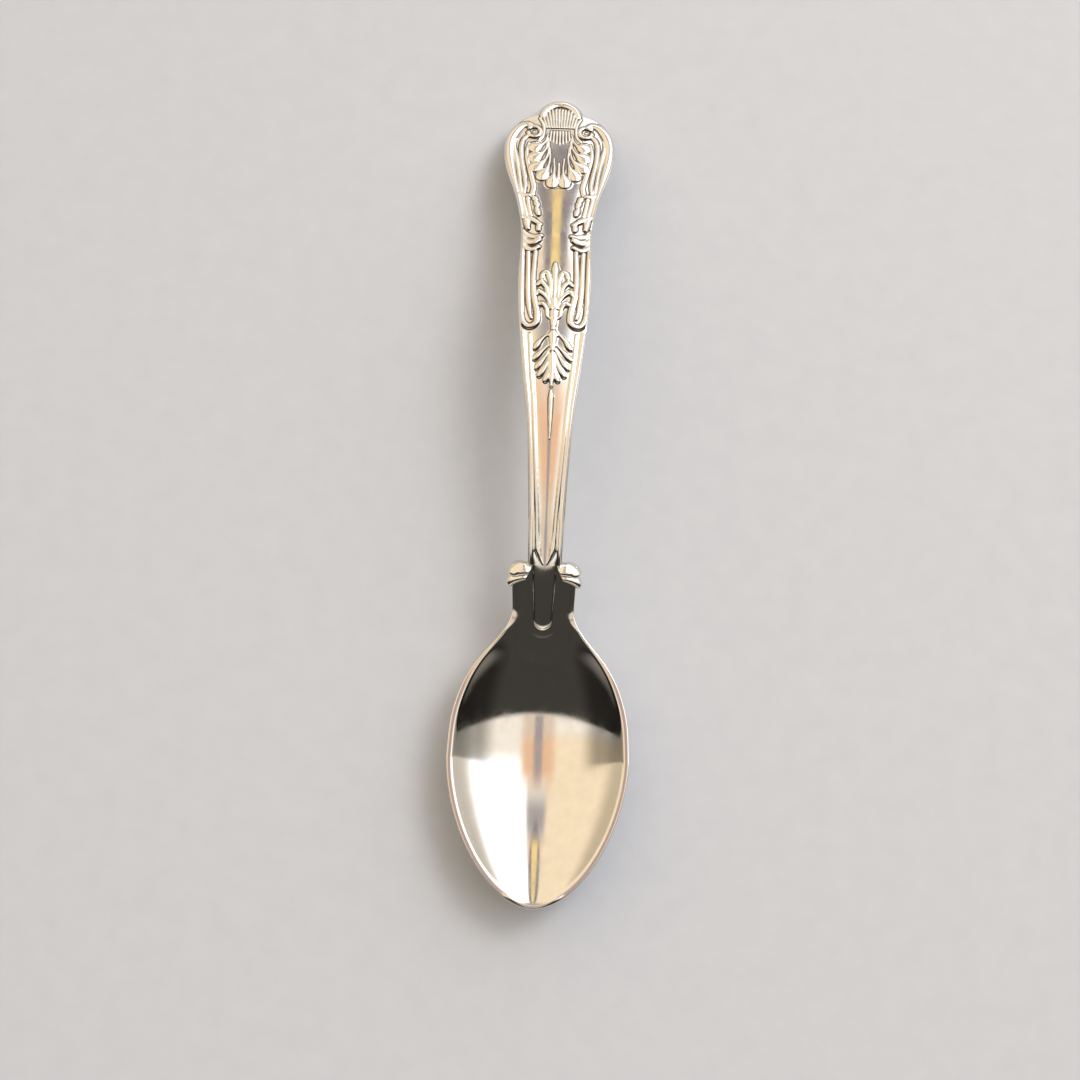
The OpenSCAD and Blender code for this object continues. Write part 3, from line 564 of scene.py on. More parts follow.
polished_steel, tree, shader = new_material("polished_stainless_steel")
spot = add_node(tree, "ShaderNodeTexCoord").outputs["Object"]
haze = add_node(
    tree, "ShaderNodeTexNoise", {"Vector": spot, "Scale": 1 / (POLISH_HAZE * MM), "Detail": 4}
).outputs["Fac"]
lengthwise = add_node(tree, "ShaderNodeMapping", {"Vector": spot, "Scale": (1, MARK_STRETCH, 1)})
marks = add_node(
    tree, "ShaderNodeTexNoise",
    {"Vector": lengthwise.outputs["Vector"], "Scale": 1 / (BUFF_MARK * MM), "Detail": 2},
).outputs["Fac"]
tone = add_node(
    tree, "ShaderNodeMix", {0: haze, 6: linear("#F1EEE8"), 7: linear("#E2DDD5")}, data_type="RGBA"
)
tree.links.new(tone.outputs[2], shader.inputs["Base Color"])
worn = add_node(tree, "ShaderNodeMath", {0: haze, 1: marks}, operation="MULTIPLY")
dull = add_node(
    tree, "ShaderNodeMapRange",
    {"Value": worn.outputs[0], "From Min": 0.12, "From Max": 0.4, "To Min": 0.035, "To Max": 0.13},
)
tree.links.new(dull.outputs["Result"], shader.inputs["Roughness"])
wave = add_node(
    tree, "ShaderNodeTexNoise", {"Vector": spot, "Scale": 1 / (POLISH_WAVE * MM), "Detail": 1}
)
ripple = add_node(
    tree, "ShaderNodeBump", {"Strength": 0.5, "Distance": 0.012 * MM, "Height": wave.outputs["Fac"]}
)
scratch = add_node(
    tree, "ShaderNodeBump",
    {"Strength": 0.2, "Distance": 0.0006 * MM, "Height": marks, "Normal": ripple.outputs["Normal"]},
)
tree.links.new(scratch.outputs["Normal"], shader.inputs["Normal"])
shader.inputs["Metallic"].default_value = 1


def finish_piece(piece, node, metal):
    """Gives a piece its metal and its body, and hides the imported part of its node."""
    piece.data.materials.append(metal)
    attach(piece, "root")
    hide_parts(node)


bowl_grid, bowl_normals = lower_grid[: BOWL_ROWS + 1], lower_normals[: BOWL_ROWS + 1]
bowl = close_blank(grid_piece("spoon_bowl", bowl_grid, bowl_normals))
finish_piece(bowl, "bowl", polished_steel)

neck = close_blank(grid_piece("spoon_neck", lower_grid[BOWL_ROWS:], lower_normals[BOWL_ROWS:]))
finish_piece(neck, "neck", polished_steel)


# Blank of the handle. The same steel, cropped to a slender stem and a broad end with a waist, a
# swollen head and a round fan at its tip, and arched so that it rests on that tip.
FLARE_SHARES = [
    (0, 0), (0.1, 0.03), (0.22, 0.09), (0.36, 0.19), (0.5, 0.33),
    (0.63, 0.55), (0.78, 0.79), (0.9, 0.945), (1, 1),
]
HEAD_SHARES = [
    (0, 0), (0.2, 0.06), (0.43, 0.29), (0.55, 0.46), (0.66, 0.66), (0.78, 0.85), (0.9, 0.975), (1, 1),
]
STEM_START = STEM_AT - 0.4
TIP_EDGE_SHARE = 0.86
STEM_ROWS, END_ROWS = 120, 230
HANDLE_ROUND, HANDLE_FOOT_ROUND = 0.4, 0.3
WIDENS, FLATTENS = (STEM_AT + 0.5, STEM_AT + 9), (STEM_AT + 1, STEM_AT + 26)
MEETS_NECK = (STEM_AT - 1, STEM_AT + 1)

flare = fair_curve(spread(FLARE_SHARES, STEM_AT, SWELL_AT, STEM_W / 2, SWELL_W / 2))
thick = fair_curve([(STEM_AT, STEM_T), (CREST_PLACE, CREST_T), (TIP_AT, END_T)])
head_flare = fair_curve(spread(HEAD_SHARES, WAIST_AT, HEAD_AT, WAIST_W / 2, HEAD_W / 2), 0.7)


def body_half(s):
    """Half width of the handle, kept at that of the head past its widest place."""
    waist = mix(SWELL_W, WAIST_W, (1 - np.cos(math.pi * (s - SWELL_AT) / (WAIST_AT - SWELL_AT))) / 2) / 2
    return np.select(
        [s < SWELL_AT, s < WAIST_AT, s < HEAD_AT], [flare(s), waist, head_flare(s)], HEAD_W / 2
    )


def handle_half(s):
    """Half width of the handle, with the shoulders of the head and the fan past them."""
    far = np.clip((s - HEAD_AT) / (HEAD_BACK - HEAD_SHOULDER_BACK), 0, 1)
    shoulder = body_half(s) * (1 - far**HEAD_POWER) ** (1 / HEAD_POWER)
    rise = np.clip(s - (TIP_AT - FAN_R), 0, FAN_R)
    fan = np.where(s > TIP_AT - FAN_R, np.sqrt(FAN_R**2 - rise**2), 0)
    return np.maximum(shoulder, fan)


places = TIP_AT - (TIP_AT - END_AT) * np.linspace(1, 0, 6000) ** 2
end_outline = even_steps(np.stack([handle_half(places), places], 1), END_ROWS)
stem_places = np.linspace(STEM_START, END_AT, STEM_ROWS + 1)[:-1]
upper_outline = np.concatenate([np.stack([handle_half(stem_places), stem_places], 1), end_outline])
upper_inward = inward(upper_outline)
upper_inward[-1] = (0, -1)
upper_outline[-1, 0] = 0
upper_inner = upper_outline + HANDLE_LAND * upper_inward
upper_inner[-1, 0] = 0
share = np.linspace(0, 1, END_ROWS + 1)
upper_axis = np.concatenate([stem_places, mix(END_AT, TIP_AT - HANDLE_LAND, share)])
upper_low_inner = upper_outline + HANDLE_FOOT_ROUND * upper_inward
upper_low_inner[-1, 0] = 0
upper_low_axis = np.concatenate([stem_places, mix(END_AT, TIP_AT - HANDLE_FOOT_ROUND, share)])


def handle_top(u, s):
    """Height of the crowned face of the handle, before its edge is rounded."""
    at_neck, at_stem = inner_half(STEM_AT - 0.5), body_half(s) - HANDLE_LAND
    crown_half = mix(at_neck, at_stem, ease(s, *WIDENS))
    t = np.clip(np.abs(u) / crown_half, 0, 1)
    crown = mix(NECK_CROWN, HANDLE_CROWN, ease(s, *FLATTENS))
    return edge_z(s) + crown * (1 - t * t)


def handle_side(s):
    """Height of the upright part of the edge, nearly the whole thickness at the tip."""
    return thick(s) * mix(EDGE_SHARE, TIP_EDGE_SHARE, ease(s, HEAD_AT + 3, TIP_AT))


def handle_back(u, s):
    """Height of the back of the handle."""
    t = np.clip(np.abs(u) / body_half(s), 0, 1)
    belly = thick(s) - HANDLE_CROWN - handle_side(s)
    return edge_z(s) - handle_side(s) - belly * (1 - t**DISH_POWER)


def handle_columns(outline, normals, inner):
    """The rounded edge of the handle, its upright side and the round under it."""
    columns = []
    for a in np.linspace(0, math.pi / 2, 8):
        place = outline + HANDLE_ROUND * (1 - math.sin(a)) * normals
        fall = HANDLE_ROUND * (1 - math.cos(a))
        z = handle_top(place[:, 0], place[:, 1]) - fall
        columns.append(np.stack([place[:, 0], place[:, 1], z], 1))
    for a in np.linspace(0, math.pi / 2, 5):
        place = outline + HANDLE_FOOT_ROUND * (1 - math.cos(a)) * normals
        rise = HANDLE_FOOT_ROUND * (1 - math.sin(a))
        z = edge_z(place[:, 1]) - handle_side(place[:, 1])
        columns.append(np.stack([place[:, 0], place[:, 1], z + rise], 1))
    return columns


upper_grid = ring_columns(
    upper_outline, upper_inward, upper_inner, upper_low_inner, upper_axis, upper_low_axis,
    top=handle_top, low=handle_back, edge=handle_columns, across=40, across_low=26,
)
upper_normals = smooth_normals(upper_grid)

stem_grid, stem_normals = upper_grid[: STEM_ROWS + 1], upper_normals[: STEM_ROWS + 1]
stem = close_blank(grid_piece("spoon_stem", stem_grid, stem_normals))
finish_piece(stem, "stem", polished_steel)

end_grid, end_normals = upper_grid[STEM_ROWS:], upper_normals[STEM_ROWS:]
handle_end = close_blank(grid_piece("handle_broad_end", end_grid, end_normals))
finish_piece(handle_end, "handle_end", polished_steel)

# Scroll borders. Struck in the face of the handle by the die: reed threads that follow the edge,
# a volute at each side of the shell, a collar over the waist and a long U under the swell.
# The relief sinks into the blank where it nears the edge. FAR_OFF stands for any place too far
# from a rib or an edge to matter.
RELIEF_H = 0.42
SINK = 0.03
RELIEF_BODY = 0.25
EDGE_MARGIN, EDGE_FADE, EDGE_SINK = 0.05, (0.12, 0.36), 0.16
FAR_OFF = 9.0
CREASE = math.radians(50)
NEAR_EDGE, STEEPEST_FLARE = 1.6, 1.2
POINTS_AT_ONCE = 4000

fine_stem = np.linspace(STEM_START, END_AT, 700)
fine_edge = np.concatenate([
    np.stack([handle_half(fine_stem), fine_stem], 1),
    even_steps(np.stack([handle_half(places), places], 1), 1400),
])


def edge_distance(u, s):
    """Distance of each point inside the outline of the handle; below 0 outside it."""
    u, s = np.abs(u), np.asarray(s, float)
    near = (handle_half(s) - u) / STEEPEST_FLARE
    close = (near < NEAR_EDGE) & (s > STEM_START)
    found = np.where(s > STEM_START, near, FAR_OFF)
    pick = np.argwhere(close)
    for part in np.array_split(pick, max(1, len(pick) // POINTS_AT_ONCE)):
        if len(part):
            picked = tuple(part.T)
            du = u[picked][:, None] - fine_edge[None, :, 0]
            ds = s[picked][:, None] - fine_edge[None, :, 1]
            clear = np.sqrt((du * du + ds * ds).min(1))
            found[picked] = np.where(u[picked] < handle_half(s[picked]), clear, -clear)
    return found


def face_height(u, s):
    """Height of the finished upper face of neck and handle, with its rounded edges."""
    near = np.clip(edge_distance(u, s), 0, HANDLE_ROUND)
    fall = HANDLE_ROUND - np.sqrt(HANDLE_ROUND**2 - (HANDLE_ROUND - near) ** 2)
    handle = handle_top(u, s) - np.where(s > STEM_START, fall, 0)
    return mix(lower_top(u, s), handle, ease(s, *MEETS_NECK))


def through(points, step=0.2):
    """A smooth line through given points, in short steps."""
    p = np.array(points, float)
    if len(p) == 2:
        return np.linspace(p[0], p[1], max(2, int(np.linalg.norm(p[1] - p[0]) / step)))
    run = np.concatenate([[0], np.cumsum(np.linalg.norm(np.diff(p, axis=0), axis=1))])
    slope = np.gradient(p, run, axis=0)
    even = np.linspace(0, run[-1], max(2, int(run[-1] / step)))
    i = np.clip(np.searchsorted(run, even, side="right") - 1, 0, len(p) - 2)
    h = (run[i + 1] - run[i])[:, None]
    return on_curve(p, slope, i, h, (even - run[i])[:, None] / h)


def rib(points, width, height=RELIEF_H, widths=((0, 1), (1, 1)), heights=((0, 1), (1, 1)), fullness=0.8):
    """A rib along a line through points, with its width and height by rows of shares."""
    line = through(points)
    share = np.linspace(0, 1, len(line))
    half = width / 2 * np.interp(share, *zip(*widths))
    tall = height * np.interp(share, *zip(*heights))
    return line, half, tall, fullness


FILLET_FROM, FILLET_TO, FILLET_SHARE, FOOT_SLOPE = 0.78, 1.4, 0.12, 0.3
RIB_REACH = 1.6
# These place the painted shade of the recesses round the foot of each rib.
RECESS_START, RECESS_RISE, RECESS_FADE = (0.62, 0.92), (-0.2, -0.05), (0.07, 0.22)
JOIN_ROUND, JOIN_RISE = 0.05, 0.08


def rib_section(far, fullness):
    """Height of a rib at a share of its half width: a round crown with a small fillet at its foot."""
    crown = np.maximum(1 - far * far, 0) ** fullness
    fillet = FILLET_SHARE * np.clip((FILLET_TO - far) / (FILLET_TO - FILLET_FROM), 0, 1) ** 2
    return np.where(far < FILLET_TO, np.maximum(crown, fillet), (FILLET_TO - far) * FOOT_SLOPE)


def rib_field(ribs, reach, start, end, step):
    """Height of ribs over the face and the painted shade of their recesses, on an even grid."""
    u = np.arange(0, reach + step / 2, step)
    s = np.arange(start, end + step / 2, step)
    field = np.full((len(s), len(u)), -2 * SINK)
    shade = np.zeros_like(field)
    for line, half, tall, fullness in ribs:
        own = np.full_like(field, -2 * SINK)
        apart = np.full_like(field, FAR_OFF)
        beyond = np.full_like(field, FAR_OFF)
        for a, b, w0, w1, h0, h1 in zip(line, line[1:], half, half[1:], tall, tall[1:]):
            around = max(w0, w1) * RIB_REACH
            u0, u1 = np.searchsorted(u, [min(a[0], b[0]) - around, max(a[0], b[0]) + around])
            s0, s1 = np.searchsorted(s, [min(a[1], b[1]) - around, max(a[1], b[1]) + around])
            if u0 == u1 or s0 == s1:
                continue
            du = u[None, u0:u1] - a[0]
            ds = s[s0:s1, None] - a[1]
            way = b - a
            k = np.clip((du * way[0] + ds * way[1]) / max(way @ way, 1e-9), 0, 1)
            half_here = mix(w0, w1, k)
            far = np.hypot(du - k * way[0], ds - k * way[1]) / half_here
            here = (slice(s0, s1), slice(u0, u1))
            own[here] = np.maximum(own[here], mix(h0, h1, k) * rib_section(far, fullness))
            apart[here] = np.minimum(apart[here], far)
            beyond[here] = np.minimum(beyond[here], (far - 1) * half_here)
        # Painted shade: a dark band just outside each rib's foot, standing in for the shade in the
        # recesses.
        outside = ease(apart, *RECESS_START) * ease(beyond, *RECESS_RISE)
        shade = np.where(own > field, outside * (1 - ease(beyond, *RECESS_FADE)), shade)
        soft = JOIN_ROUND * ease(np.minimum(field, own), -SINK / 2, JOIN_RISE)
        field = 0.5 * (field + own + np.sqrt((field - own) ** 2 + soft**2))
    for _ in range(2):
        padded = np.pad(field, 1, mode="reflect")
        padded = (padded[:-2] + 2 * padded[1:-1] + padded[2:]) / 4
        field = (padded[:, :-2] + 2 * padded[:, 1:-1] + padded[:, 2:]) / 4
    return u, s, field, shade


def cut_out(piece, lost, depth):
    """Deletes the faces that carry no ornament and gives the rest a body down to a depth."""
    mesh = piece.data
    bpy.context.tool_settings.mesh_select_mode = (False, False, True)
    mesh.vertices.foreach_set("select", np.zeros(len(mesh.vertices), bool))
    mesh.edges.foreach_set("select", np.zeros(len(mesh.edges), bool))
    mesh.polygons.foreach_set("select", lost)
    mesh.update()
    bpy.ops.object.mode_set(mode="EDIT")
    bpy.ops.mesh.delete(type="FACE")
    bpy.ops.mesh.select_all(action="SELECT")
    bpy.ops.mesh.delete_loose()
    bpy.ops.mesh.select_all(action="SELECT")
    bpy.ops.mesh.extrude_region_move(TRANSFORM_OT_translate={"value": (0, 0, -depth)})
    bpy.ops.mesh.select_all(action="SELECT")
    bpy.ops.mesh.normals_make_consistent(inside=False)
    bpy.ops.mesh.select_mode(type="VERT")
    bpy.ops.mesh.select_all(action="DESELECT")
    bpy.ops.object.mode_set(mode="OBJECT")
    bpy.ops.object.shade_smooth_by_angle(angle=CREASE)


def struck_patch(name, ribs, reach, start, end, side=1, step=0.08, painted_shade_gain=1.0):
    """Ornament as its own closed piece, seated a little under the face that carries it. It is
    drawn from the axis out to a reach and mirrored; side is 1 on the face and -1 on the back."""
    u, s, half_field, half_shade = rib_field(ribs, reach, start, end, step)
    u_all = np.concatenate([-u[:0:-1], u])
    field = np.concatenate([half_field[:, :0:-1], half_field], 1)
    shade = np.concatenate([half_shade[:, :0:-1], half_shade], 1)
    uu, ss = np.meshgrid(u_all, s)
    inside = edge_distance(uu, ss)
    fade = ease(inside, *EDGE_FADE)
    raised = (field + EDGE_SINK) * fade - EDGE_SINK
    if side > 0:
        z = face_height(uu, ss) + raised
    else:
        near = HANDLE_FOOT_ROUND - np.clip(inside, 0, HANDLE_FOOT_ROUND)
        edge = HANDLE_FOOT_ROUND - np.sqrt(HANDLE_FOOT_ROUND**2 - near**2)
        z = np.where(ss < STEM_AT, lower_back(uu, ss), handle_back(uu, ss) + edge) - raised
    piece = grid_piece(name, np.stack([uu, ss, z], 2))
    # The attribute made here carries the painted shade of the recesses, scaled by the piece's gain, to
    # the material.
    painted_recess_shade = piece.data.attributes.new("painted_recess_shade", "FLOAT", "POINT")
    painted_recess_shade.data.foreach_set("value", (painted_shade_gain * shade * fade).astype(np.float32).ravel())
    keep = raised.ravel() > -0.5 * SINK
    outside = inside.ravel() < EDGE_MARGIN
    corners = np.zeros(len(piece.data.loops), np.int32)
    piece.data.loops.foreach_get("vertex_index", corners)
    corners = corners.reshape(-1, 4)
    lost = ~keep[corners].any(1) | outside[corners].any(1)
    cut_out(piece, lost, side * RELIEF_BODY * MM)
    return piece


VOLUTE_AT = (4.38, 130.0)
VOLUTE_R = 1.1


def volute(start, end, radius, count=16):
    """Points round the eye of the volute, from one turn to another, in degrees."""
    return [
        (VOLUTE_AT[0] + r * math.cos(math.radians(a)), VOLUTE_AT[1] + r * math.sin(math.radians(a)))
        for a, r in zip(np.linspace(start, end, count), np.linspace(*radius, count))
    ]


border_ribs = [
    rib(
        [(4.5, 131.05), (5.3, 131.6), (6.4, 131.35), (7.6, 130.1), (8.42, 128.15), (8.55, 126),
         (8.18, 123.48), (7.62, 120.8), (7.02, 118.2), (6.45, 115.8), (5.98, 113.52), (5.78, 112.38)],
        1.95, 1.05 * RELIEF_H,
        [(0, 0.5), (0.1, 0.72), (0.2, 0.95), (0.45, 0.85), (0.6, 0.66), (0.8, 0.5), (1, 0.46)],
        fullness=0.65,
    ),
    rib(volute(40, 350, (VOLUTE_R, 0.95 * VOLUTE_R)), 0.88, 1.1 * RELIEF_H),
    rib([VOLUTE_AT, (VOLUTE_AT[0] + 0.1, VOLUTE_AT[1])], 0.5, 0.6 * RELIEF_H),
    rib(
        [(4.45, 128.95), (5.3, 129.1), (6.0, 128.55), (6.42, 127.08), (6.4, 124.95), (6.12, 122.85),
         (5.72, 120.8), (5.48, 118.8), (5.6, 117.5)],
        1.0, 0.9 * RELIEF_H, [(0, 0.8), (0.3, 1), (1, 0.75)],
    ),
    rib(
        [(7.45, 128.4), (7.6, 127.08), (7.28, 124.95), (6.92, 122.85), (6.5, 120.2), (6.12, 117.6)],
        0.85, 0.8 * RELIEF_H, [(0, 0.5), (0.3, 1), (1, 0.8)], [(0, 0.4), (0.3, 1), (1, 1)],
    ),
    rib(
        [(5.2, 127.6), (5.5, 126), (5.3, 123.9), (4.92, 122.22), (4.45, 120.2), (4.1, 118.4),
         (4.3, 117.2)],
        0.8, 0.45 * RELIEF_H, [(0, 0.6), (0.3, 1), (1, 1.2)],
    ),
    rib([(6.5, 117.15), (5.6, 116.75), (4.72, 116.75)], 1.15, RELIEF_H, [(0, 0.8), (0.5, 1), (1, 0.85)]),
    rib([(5.85, 116.2), (5.5, 114.6), (5.12, 112.9)], 0.8, 0.7 * RELIEF_H),
    rib([(5.0, 116.2), (4.75, 114.6), (4.4, 112.9)], 0.7, 0.5 * RELIEF_H),
    rib(
        [(5.52, 106.3), (5.46, 102.6), (5.43, 99.05), (5.38, 96.43), (5.28, 94.53), (4.84, 93.14),
         (4.2, 92.55), (3.5, 92.6), (2.8, 93.2), (2.68, 94.53), (2.91, 95.91), (3.38, 98.17),
         (3.54, 100.8), (3.43, 103.5), (3.33, 105.9)],
        1.05, 0.95 * RELIEF_H, [(0, 0.85), (0.35, 1), (0.55, 1.1), (0.75, 0.95), (1, 0.8)],
    ),
    rib(
        [(4.52, 105.9), (4.44, 102.6), (4.38, 99.05), (4.15, 96.43), (3.8, 94.53), (3.6, 93.9)],
        0.85, 0.75 * RELIEF_H, [(0, 0.9), (0.8, 1), (1, 0.6)],
    ),
]

# The relief is the same steel, struck cold by the die and buffed over its tops only. That gives the
# eye bright crowns with dull recesses between them; the brown-grey in the recesses is painted shade,
# laid on where the recess attribute marks them. The bite of the die, about 0.05 mm, is drawn at
# 0.35 mm, because it is too fine to show.
DIE_GRAIN = 0.35
GRAIN_IN_PAINTED_SHADE, GRAIN_IN_DULL = 0.3, 0.25

struck_steel, tree, shader = new_material("struck_stainless_steel")
spot = add_node(tree, "ShaderNodeTexCoord").outputs["Object"]
grain = add_node(
    tree, "ShaderNodeTexNoise", {"Vector": spot, "Scale": 1 / (DIE_GRAIN * MM), "Detail": 4}
).outputs["Fac"]
painted_recess_shade = add_node(tree, "ShaderNodeAttribute", attribute_name="painted_recess_shade").outputs["Fac"]
# The painted shade of the recesses with a little die grain mixed in; below it darkens the colour and
# dulls the steel.
grain_and_painted_shade = add_node(
    tree, "ShaderNodeMath", {0: grain, 1: GRAIN_IN_PAINTED_SHADE, 2: painted_recess_shade}, operation="MULTIPLY_ADD"
)
painted_shade_and_dullness = add_node(
    tree, "ShaderNodeMapRange",
    {"Value": grain_and_painted_shade.outputs[0], "From Min": 0.55, "From Max": 1.15}, interpolation_type="SMOOTHSTEP",
).outputs["Result"]
bright = add_node(
    tree, "ShaderNodeMix", {0: grain, 6: linear("#F3F0EA"), 7: linear("#E0DAD0")}, data_type="RGBA"
)
# Painted shade: where the recess shade is strong, the colour goes to dark brown-grey #5E534A.
tone = add_node(
    tree, "ShaderNodeMix", {0: painted_shade_and_dullness, 6: bright.outputs[2], 7: linear("#5E534A")}, data_type="RGBA"
)
tree.links.new(tone.outputs[2], shader.inputs["Base Color"])
rough = add_node(
    tree, "ShaderNodeMath", {0: grain, 1: GRAIN_IN_DULL, 2: painted_shade_and_dullness}, operation="MULTIPLY_ADD"
)
dull = add_node(
    tree, "ShaderNodeMapRange",
    {"Value": rough.outputs[0], "From Min": 0.05, "From Max": 1.2, "To Min": 0.07, "To Max": 0.34},
)
tree.links.new(dull.outputs["Result"], shader.inputs["Roughness"])
bite = add_node(tree, "ShaderNodeBump", {"Strength": 0.35, "Distance": 0.008 * MM, "Height": grain})
tree.links.new(bite.outputs["Normal"], shader.inputs["Normal"])
shader.inputs["Metallic"].default_value = 1

scroll_borders = struck_patch("scroll_borders_struck", border_ribs, reach=9.6, start=91.6, end=132.8)
finish_piece(scroll_borders, "scroll_borders", struck_steel)

# Shell. The middle of the head carries a fluted scallop: five rounded lobes at each side that
# spring from a hinge, a fringe over them, and a fan of straight flutes under the rolled lip. It is
# struck with the face, in the same steel, and is the highest of the ornament.
LOBE_WIDTHS = [(0, 0.15), (0.35, 0.18), (0.6, 0.25), (0.8, 0.56), (0.92, 1), (1, 0.95)]
LOBE_HEIGHTS = [(0, 0.35), (0.4, 0.6), (0.8, 1), (1, 0.95)]
lobe_lines = [
    [(2.0, 129.5), (2.45, 127.9), (3.36, 126.95), (4.35, 126.75)],
    [(1.95, 128.7), (2.22, 126.6), (3.2, 125.15), (4.4, 124.6)],
    [(1.82, 127.9), (1.87, 125.6), (2.55, 123.75), (3.6, 122.8), (4.2, 122.55)],
    [(1.62, 126.6), (1.56, 124.0), (2.05, 122.0), (2.85, 120.8)],
    [(0.85, 124.4), (0.75, 121.9), (0.92, 120.2), (1.05, 119.35)],
]
shell_ribs = [rib(line, 2.35, 1.2 * RELIEF_H, LOBE_WIDTHS, LOBE_HEIGHTS, 0.7) for line in lobe_lines]
shell_ribs += [
    rib([(0, 123.5), (0, 119.8)], 0.7, 0.7 * RELIEF_H, [(0, 0.4), (1, 1)], [(0, 0.3), (1, 1)]),
    rib([(3.5, 132.9), (3.0, 131.9), (2.72, 130.3), (2.95, 128.9), (3.6, 128.1)], 0.6, 0.6 * RELIEF_H),
]
FLUTES, FLUTE_PITCH, FLUTE_FOOT, FLUTE_TOP = 6, 0.55, 131.0, 134.9
for i in range(FLUTES):
    top = (i + 0.5) * FLUTE_PITCH
    high = FLUTE_TOP - 0.22 * i * (i / 5)
    line = [(top * 0.75, FLUTE_FOOT), (top, high)]
    shell_ribs.append(rib(line, 0.5, 0.7 * RELIEF_H, [(0, 0.9), (1, 1)]))
RAYS, RAY_PITCH, RAY_TOP, RAY_FOOT = 4, 0.5, 130.2, 127.3
for i in range(RAYS):
    foot = i * RAY_PITCH
    line = [(foot, RAY_TOP), (foot * 1.1, RAY_FOOT + 0.3 * i)]
    shell_ribs.append(rib(line, 0.48, 0.65 * RELIEF_H, [(0, 1), (1, 0.6)], [(0, 1), (1, 0.3)]))
LIP_R = 3.1
lip_turns = np.radians(np.linspace(90, 10, 14))
lip_line = [(LIP_R * math.cos(a), TIP_AT - FAN_R + LIP_R * math.sin(a)) for a in lip_turns]
shell_ribs.append(rib(lip_line, 1.5, 0.95 * RELIEF_H, [(0, 1), (1, 0.8)], fullness=0.6))
shell = struck_patch("shell_struck", shell_ribs, reach=5.8, start=117.6, end=TIP_AT, step=0.06)
finish_piece(shell, "shell", struck_steel)

# Ribbon bands. Crossed ribbons bind the reeds at the waist, with a pair of husks over them. They
# are struck with the face of the handle, in the same steel, and stand higher than the reeds.
ribbon_lines = [
    [(5.75, 112.6), (4.24, 112.05), (2.75, 111.05)],
    [(5.2, 112.2), (4.75, 110.3)],
    [(5.8, 109.9), (4.85, 108.95), (3.6, 108.6), (2.5, 108.88)],
    [(5.76, 108.5), (4.65, 107.6), (3.6, 107.6), (2.8, 108.1)],
    [(5.85, 107.35), (4.9, 106.5), (4.1, 106.2), (2.87, 106.75)],
]
ribbon_ribs = [rib(line, 1.25, 1.1 * RELIEF_H, [(0, 0.85), (0.5, 1), (1, 0.75)]) for line in ribbon_lines]
husk_lines = [
    [(3.7, 115.7), (3.3, 114.7)], [(3.5, 114.4), (3.08, 113.0)], [(4.05, 116.4), (3.55, 115.9)],
    [(3.05, 110.85), (2.98, 110.0)],
]
ribbon_ribs += [
    rib(line, 1.2, RELIEF_H, [(0, 0.6), (0.5, 1), (1, 0.7)]) for line in husk_lines
]
ribbons = struck_patch("ribbon_bands_struck", ribbon_ribs, reach=6.6, start=105.4, end=117.2)
finish_piece(ribbons, "ribbon_bands", struck_steel)

# Anthemia. Two honeysuckle sprays on the axis under the waist: the upper one opens towards the
# head, the lower one hangs down the stem, and a small boss joins them. They are struck with the
# face, in the same steel.
LEAF_WIDTHS = [(0, 0.4), (0.4, 0.6), (0.75, 1), (0.9, 1.05), (1, 0.85)]
LEAF_HEIGHTS = [(0, 0.5), (0.5, 0.8), (0.85, 1), (1, 0.85)]
upper_lines = [
    [(0.45, 95.6), (0.6, 98.2), (0.85, 100.9), (1.4, 102.1), (2.0, 101.7), (2.1, 101.1)],
    [(0.5, 95.4), (0.95, 97.65), (1.55, 99.6), (2.3, 100.3), (2.85, 99.8)],
    [(0.45, 95.1), (0.95, 96.9), (1.85, 98.2), (2.65, 98.6), (3.0, 98.0)],
    [(0.35, 93.7), (0.95, 94.2), (1.2, 95.5), (1.8, 96.4), (2.85, 96.2)],
]
upper_ribs = [rib(line, 1.0, 0.95 * RELIEF_H, LEAF_WIDTHS, LEAF_HEIGHTS) for line in upper_lines]
upper_ribs += [
    rib([(0, 96.8), (0, 103.7)], 1.3, 0.9 * RELIEF_H, [(0, 0.35), (0.5, 0.55), (0.85, 1), (1, 0.6)]),
    rib([(0, 92.8), (0, 97.4)], 1.4, RELIEF_H, [(0, 0.75), (0.4, 1), (1, 0.6)], fullness=0.65),
    rib([(0.3, 95.6), (0.45, 95.7)], 0.9, 1.15 * RELIEF_H),
    rib([(0, 92.1), (0, 92.25)], 0.95, 0.9 * RELIEF_H),
]
upper_anthemion = struck_patch(
    "upper_anthemion_struck", upper_ribs, reach=3.6, start=91.4, end=104.8, painted_shade_gain=0.85
)
finish_piece(upper_anthemion, "upper_anthemion", struck_steel)

lower_lines = [
    [(0.35, 91.0), (1.0, 91.05), (1.75, 90.4), (2.85, 88.8)],
    [(0.6, 89.4), (1.1, 88.95), (1.9, 88.1), (2.95, 87.0)],
    [(0.5, 88.6), (0.95, 87.7), (1.6, 86.7), (2.5, 85.5)],
    [(0.3, 87.8), (0.65, 86.7), (1.15, 85.6), (2.0, 84.3)],
    [(0.15, 87.0), (0.3, 85.6), (0.6, 84.4), (1.0, 83.5)],
]
lower_ribs = [rib(line, 1.1, 0.95 * RELIEF_H, LEAF_WIDTHS, LEAF_HEIGHTS) for line in lower_lines]
lower_ribs += [
    rib([(0, 91.3), (0, 88.6)], 1.5, 1.05 * RELIEF_H, [(0, 1), (1, 0.6)], fullness=0.65),
    rib([(0, 88.3), (0, 82.6)], 1.5, 0.9 * RELIEF_H, [(0, 0.4), (0.35, 0.95), (0.6, 0.75), (1, 0.35)]),
]
lower_anthemion = struck_patch(
    "lower_anthemion_struck", lower_ribs, reach=3.6, start=81.8, end=92.2, painted_shade_gain=0.7
)
finish_piece(lower_anthemion, "lower_anthemion", struck_steel)

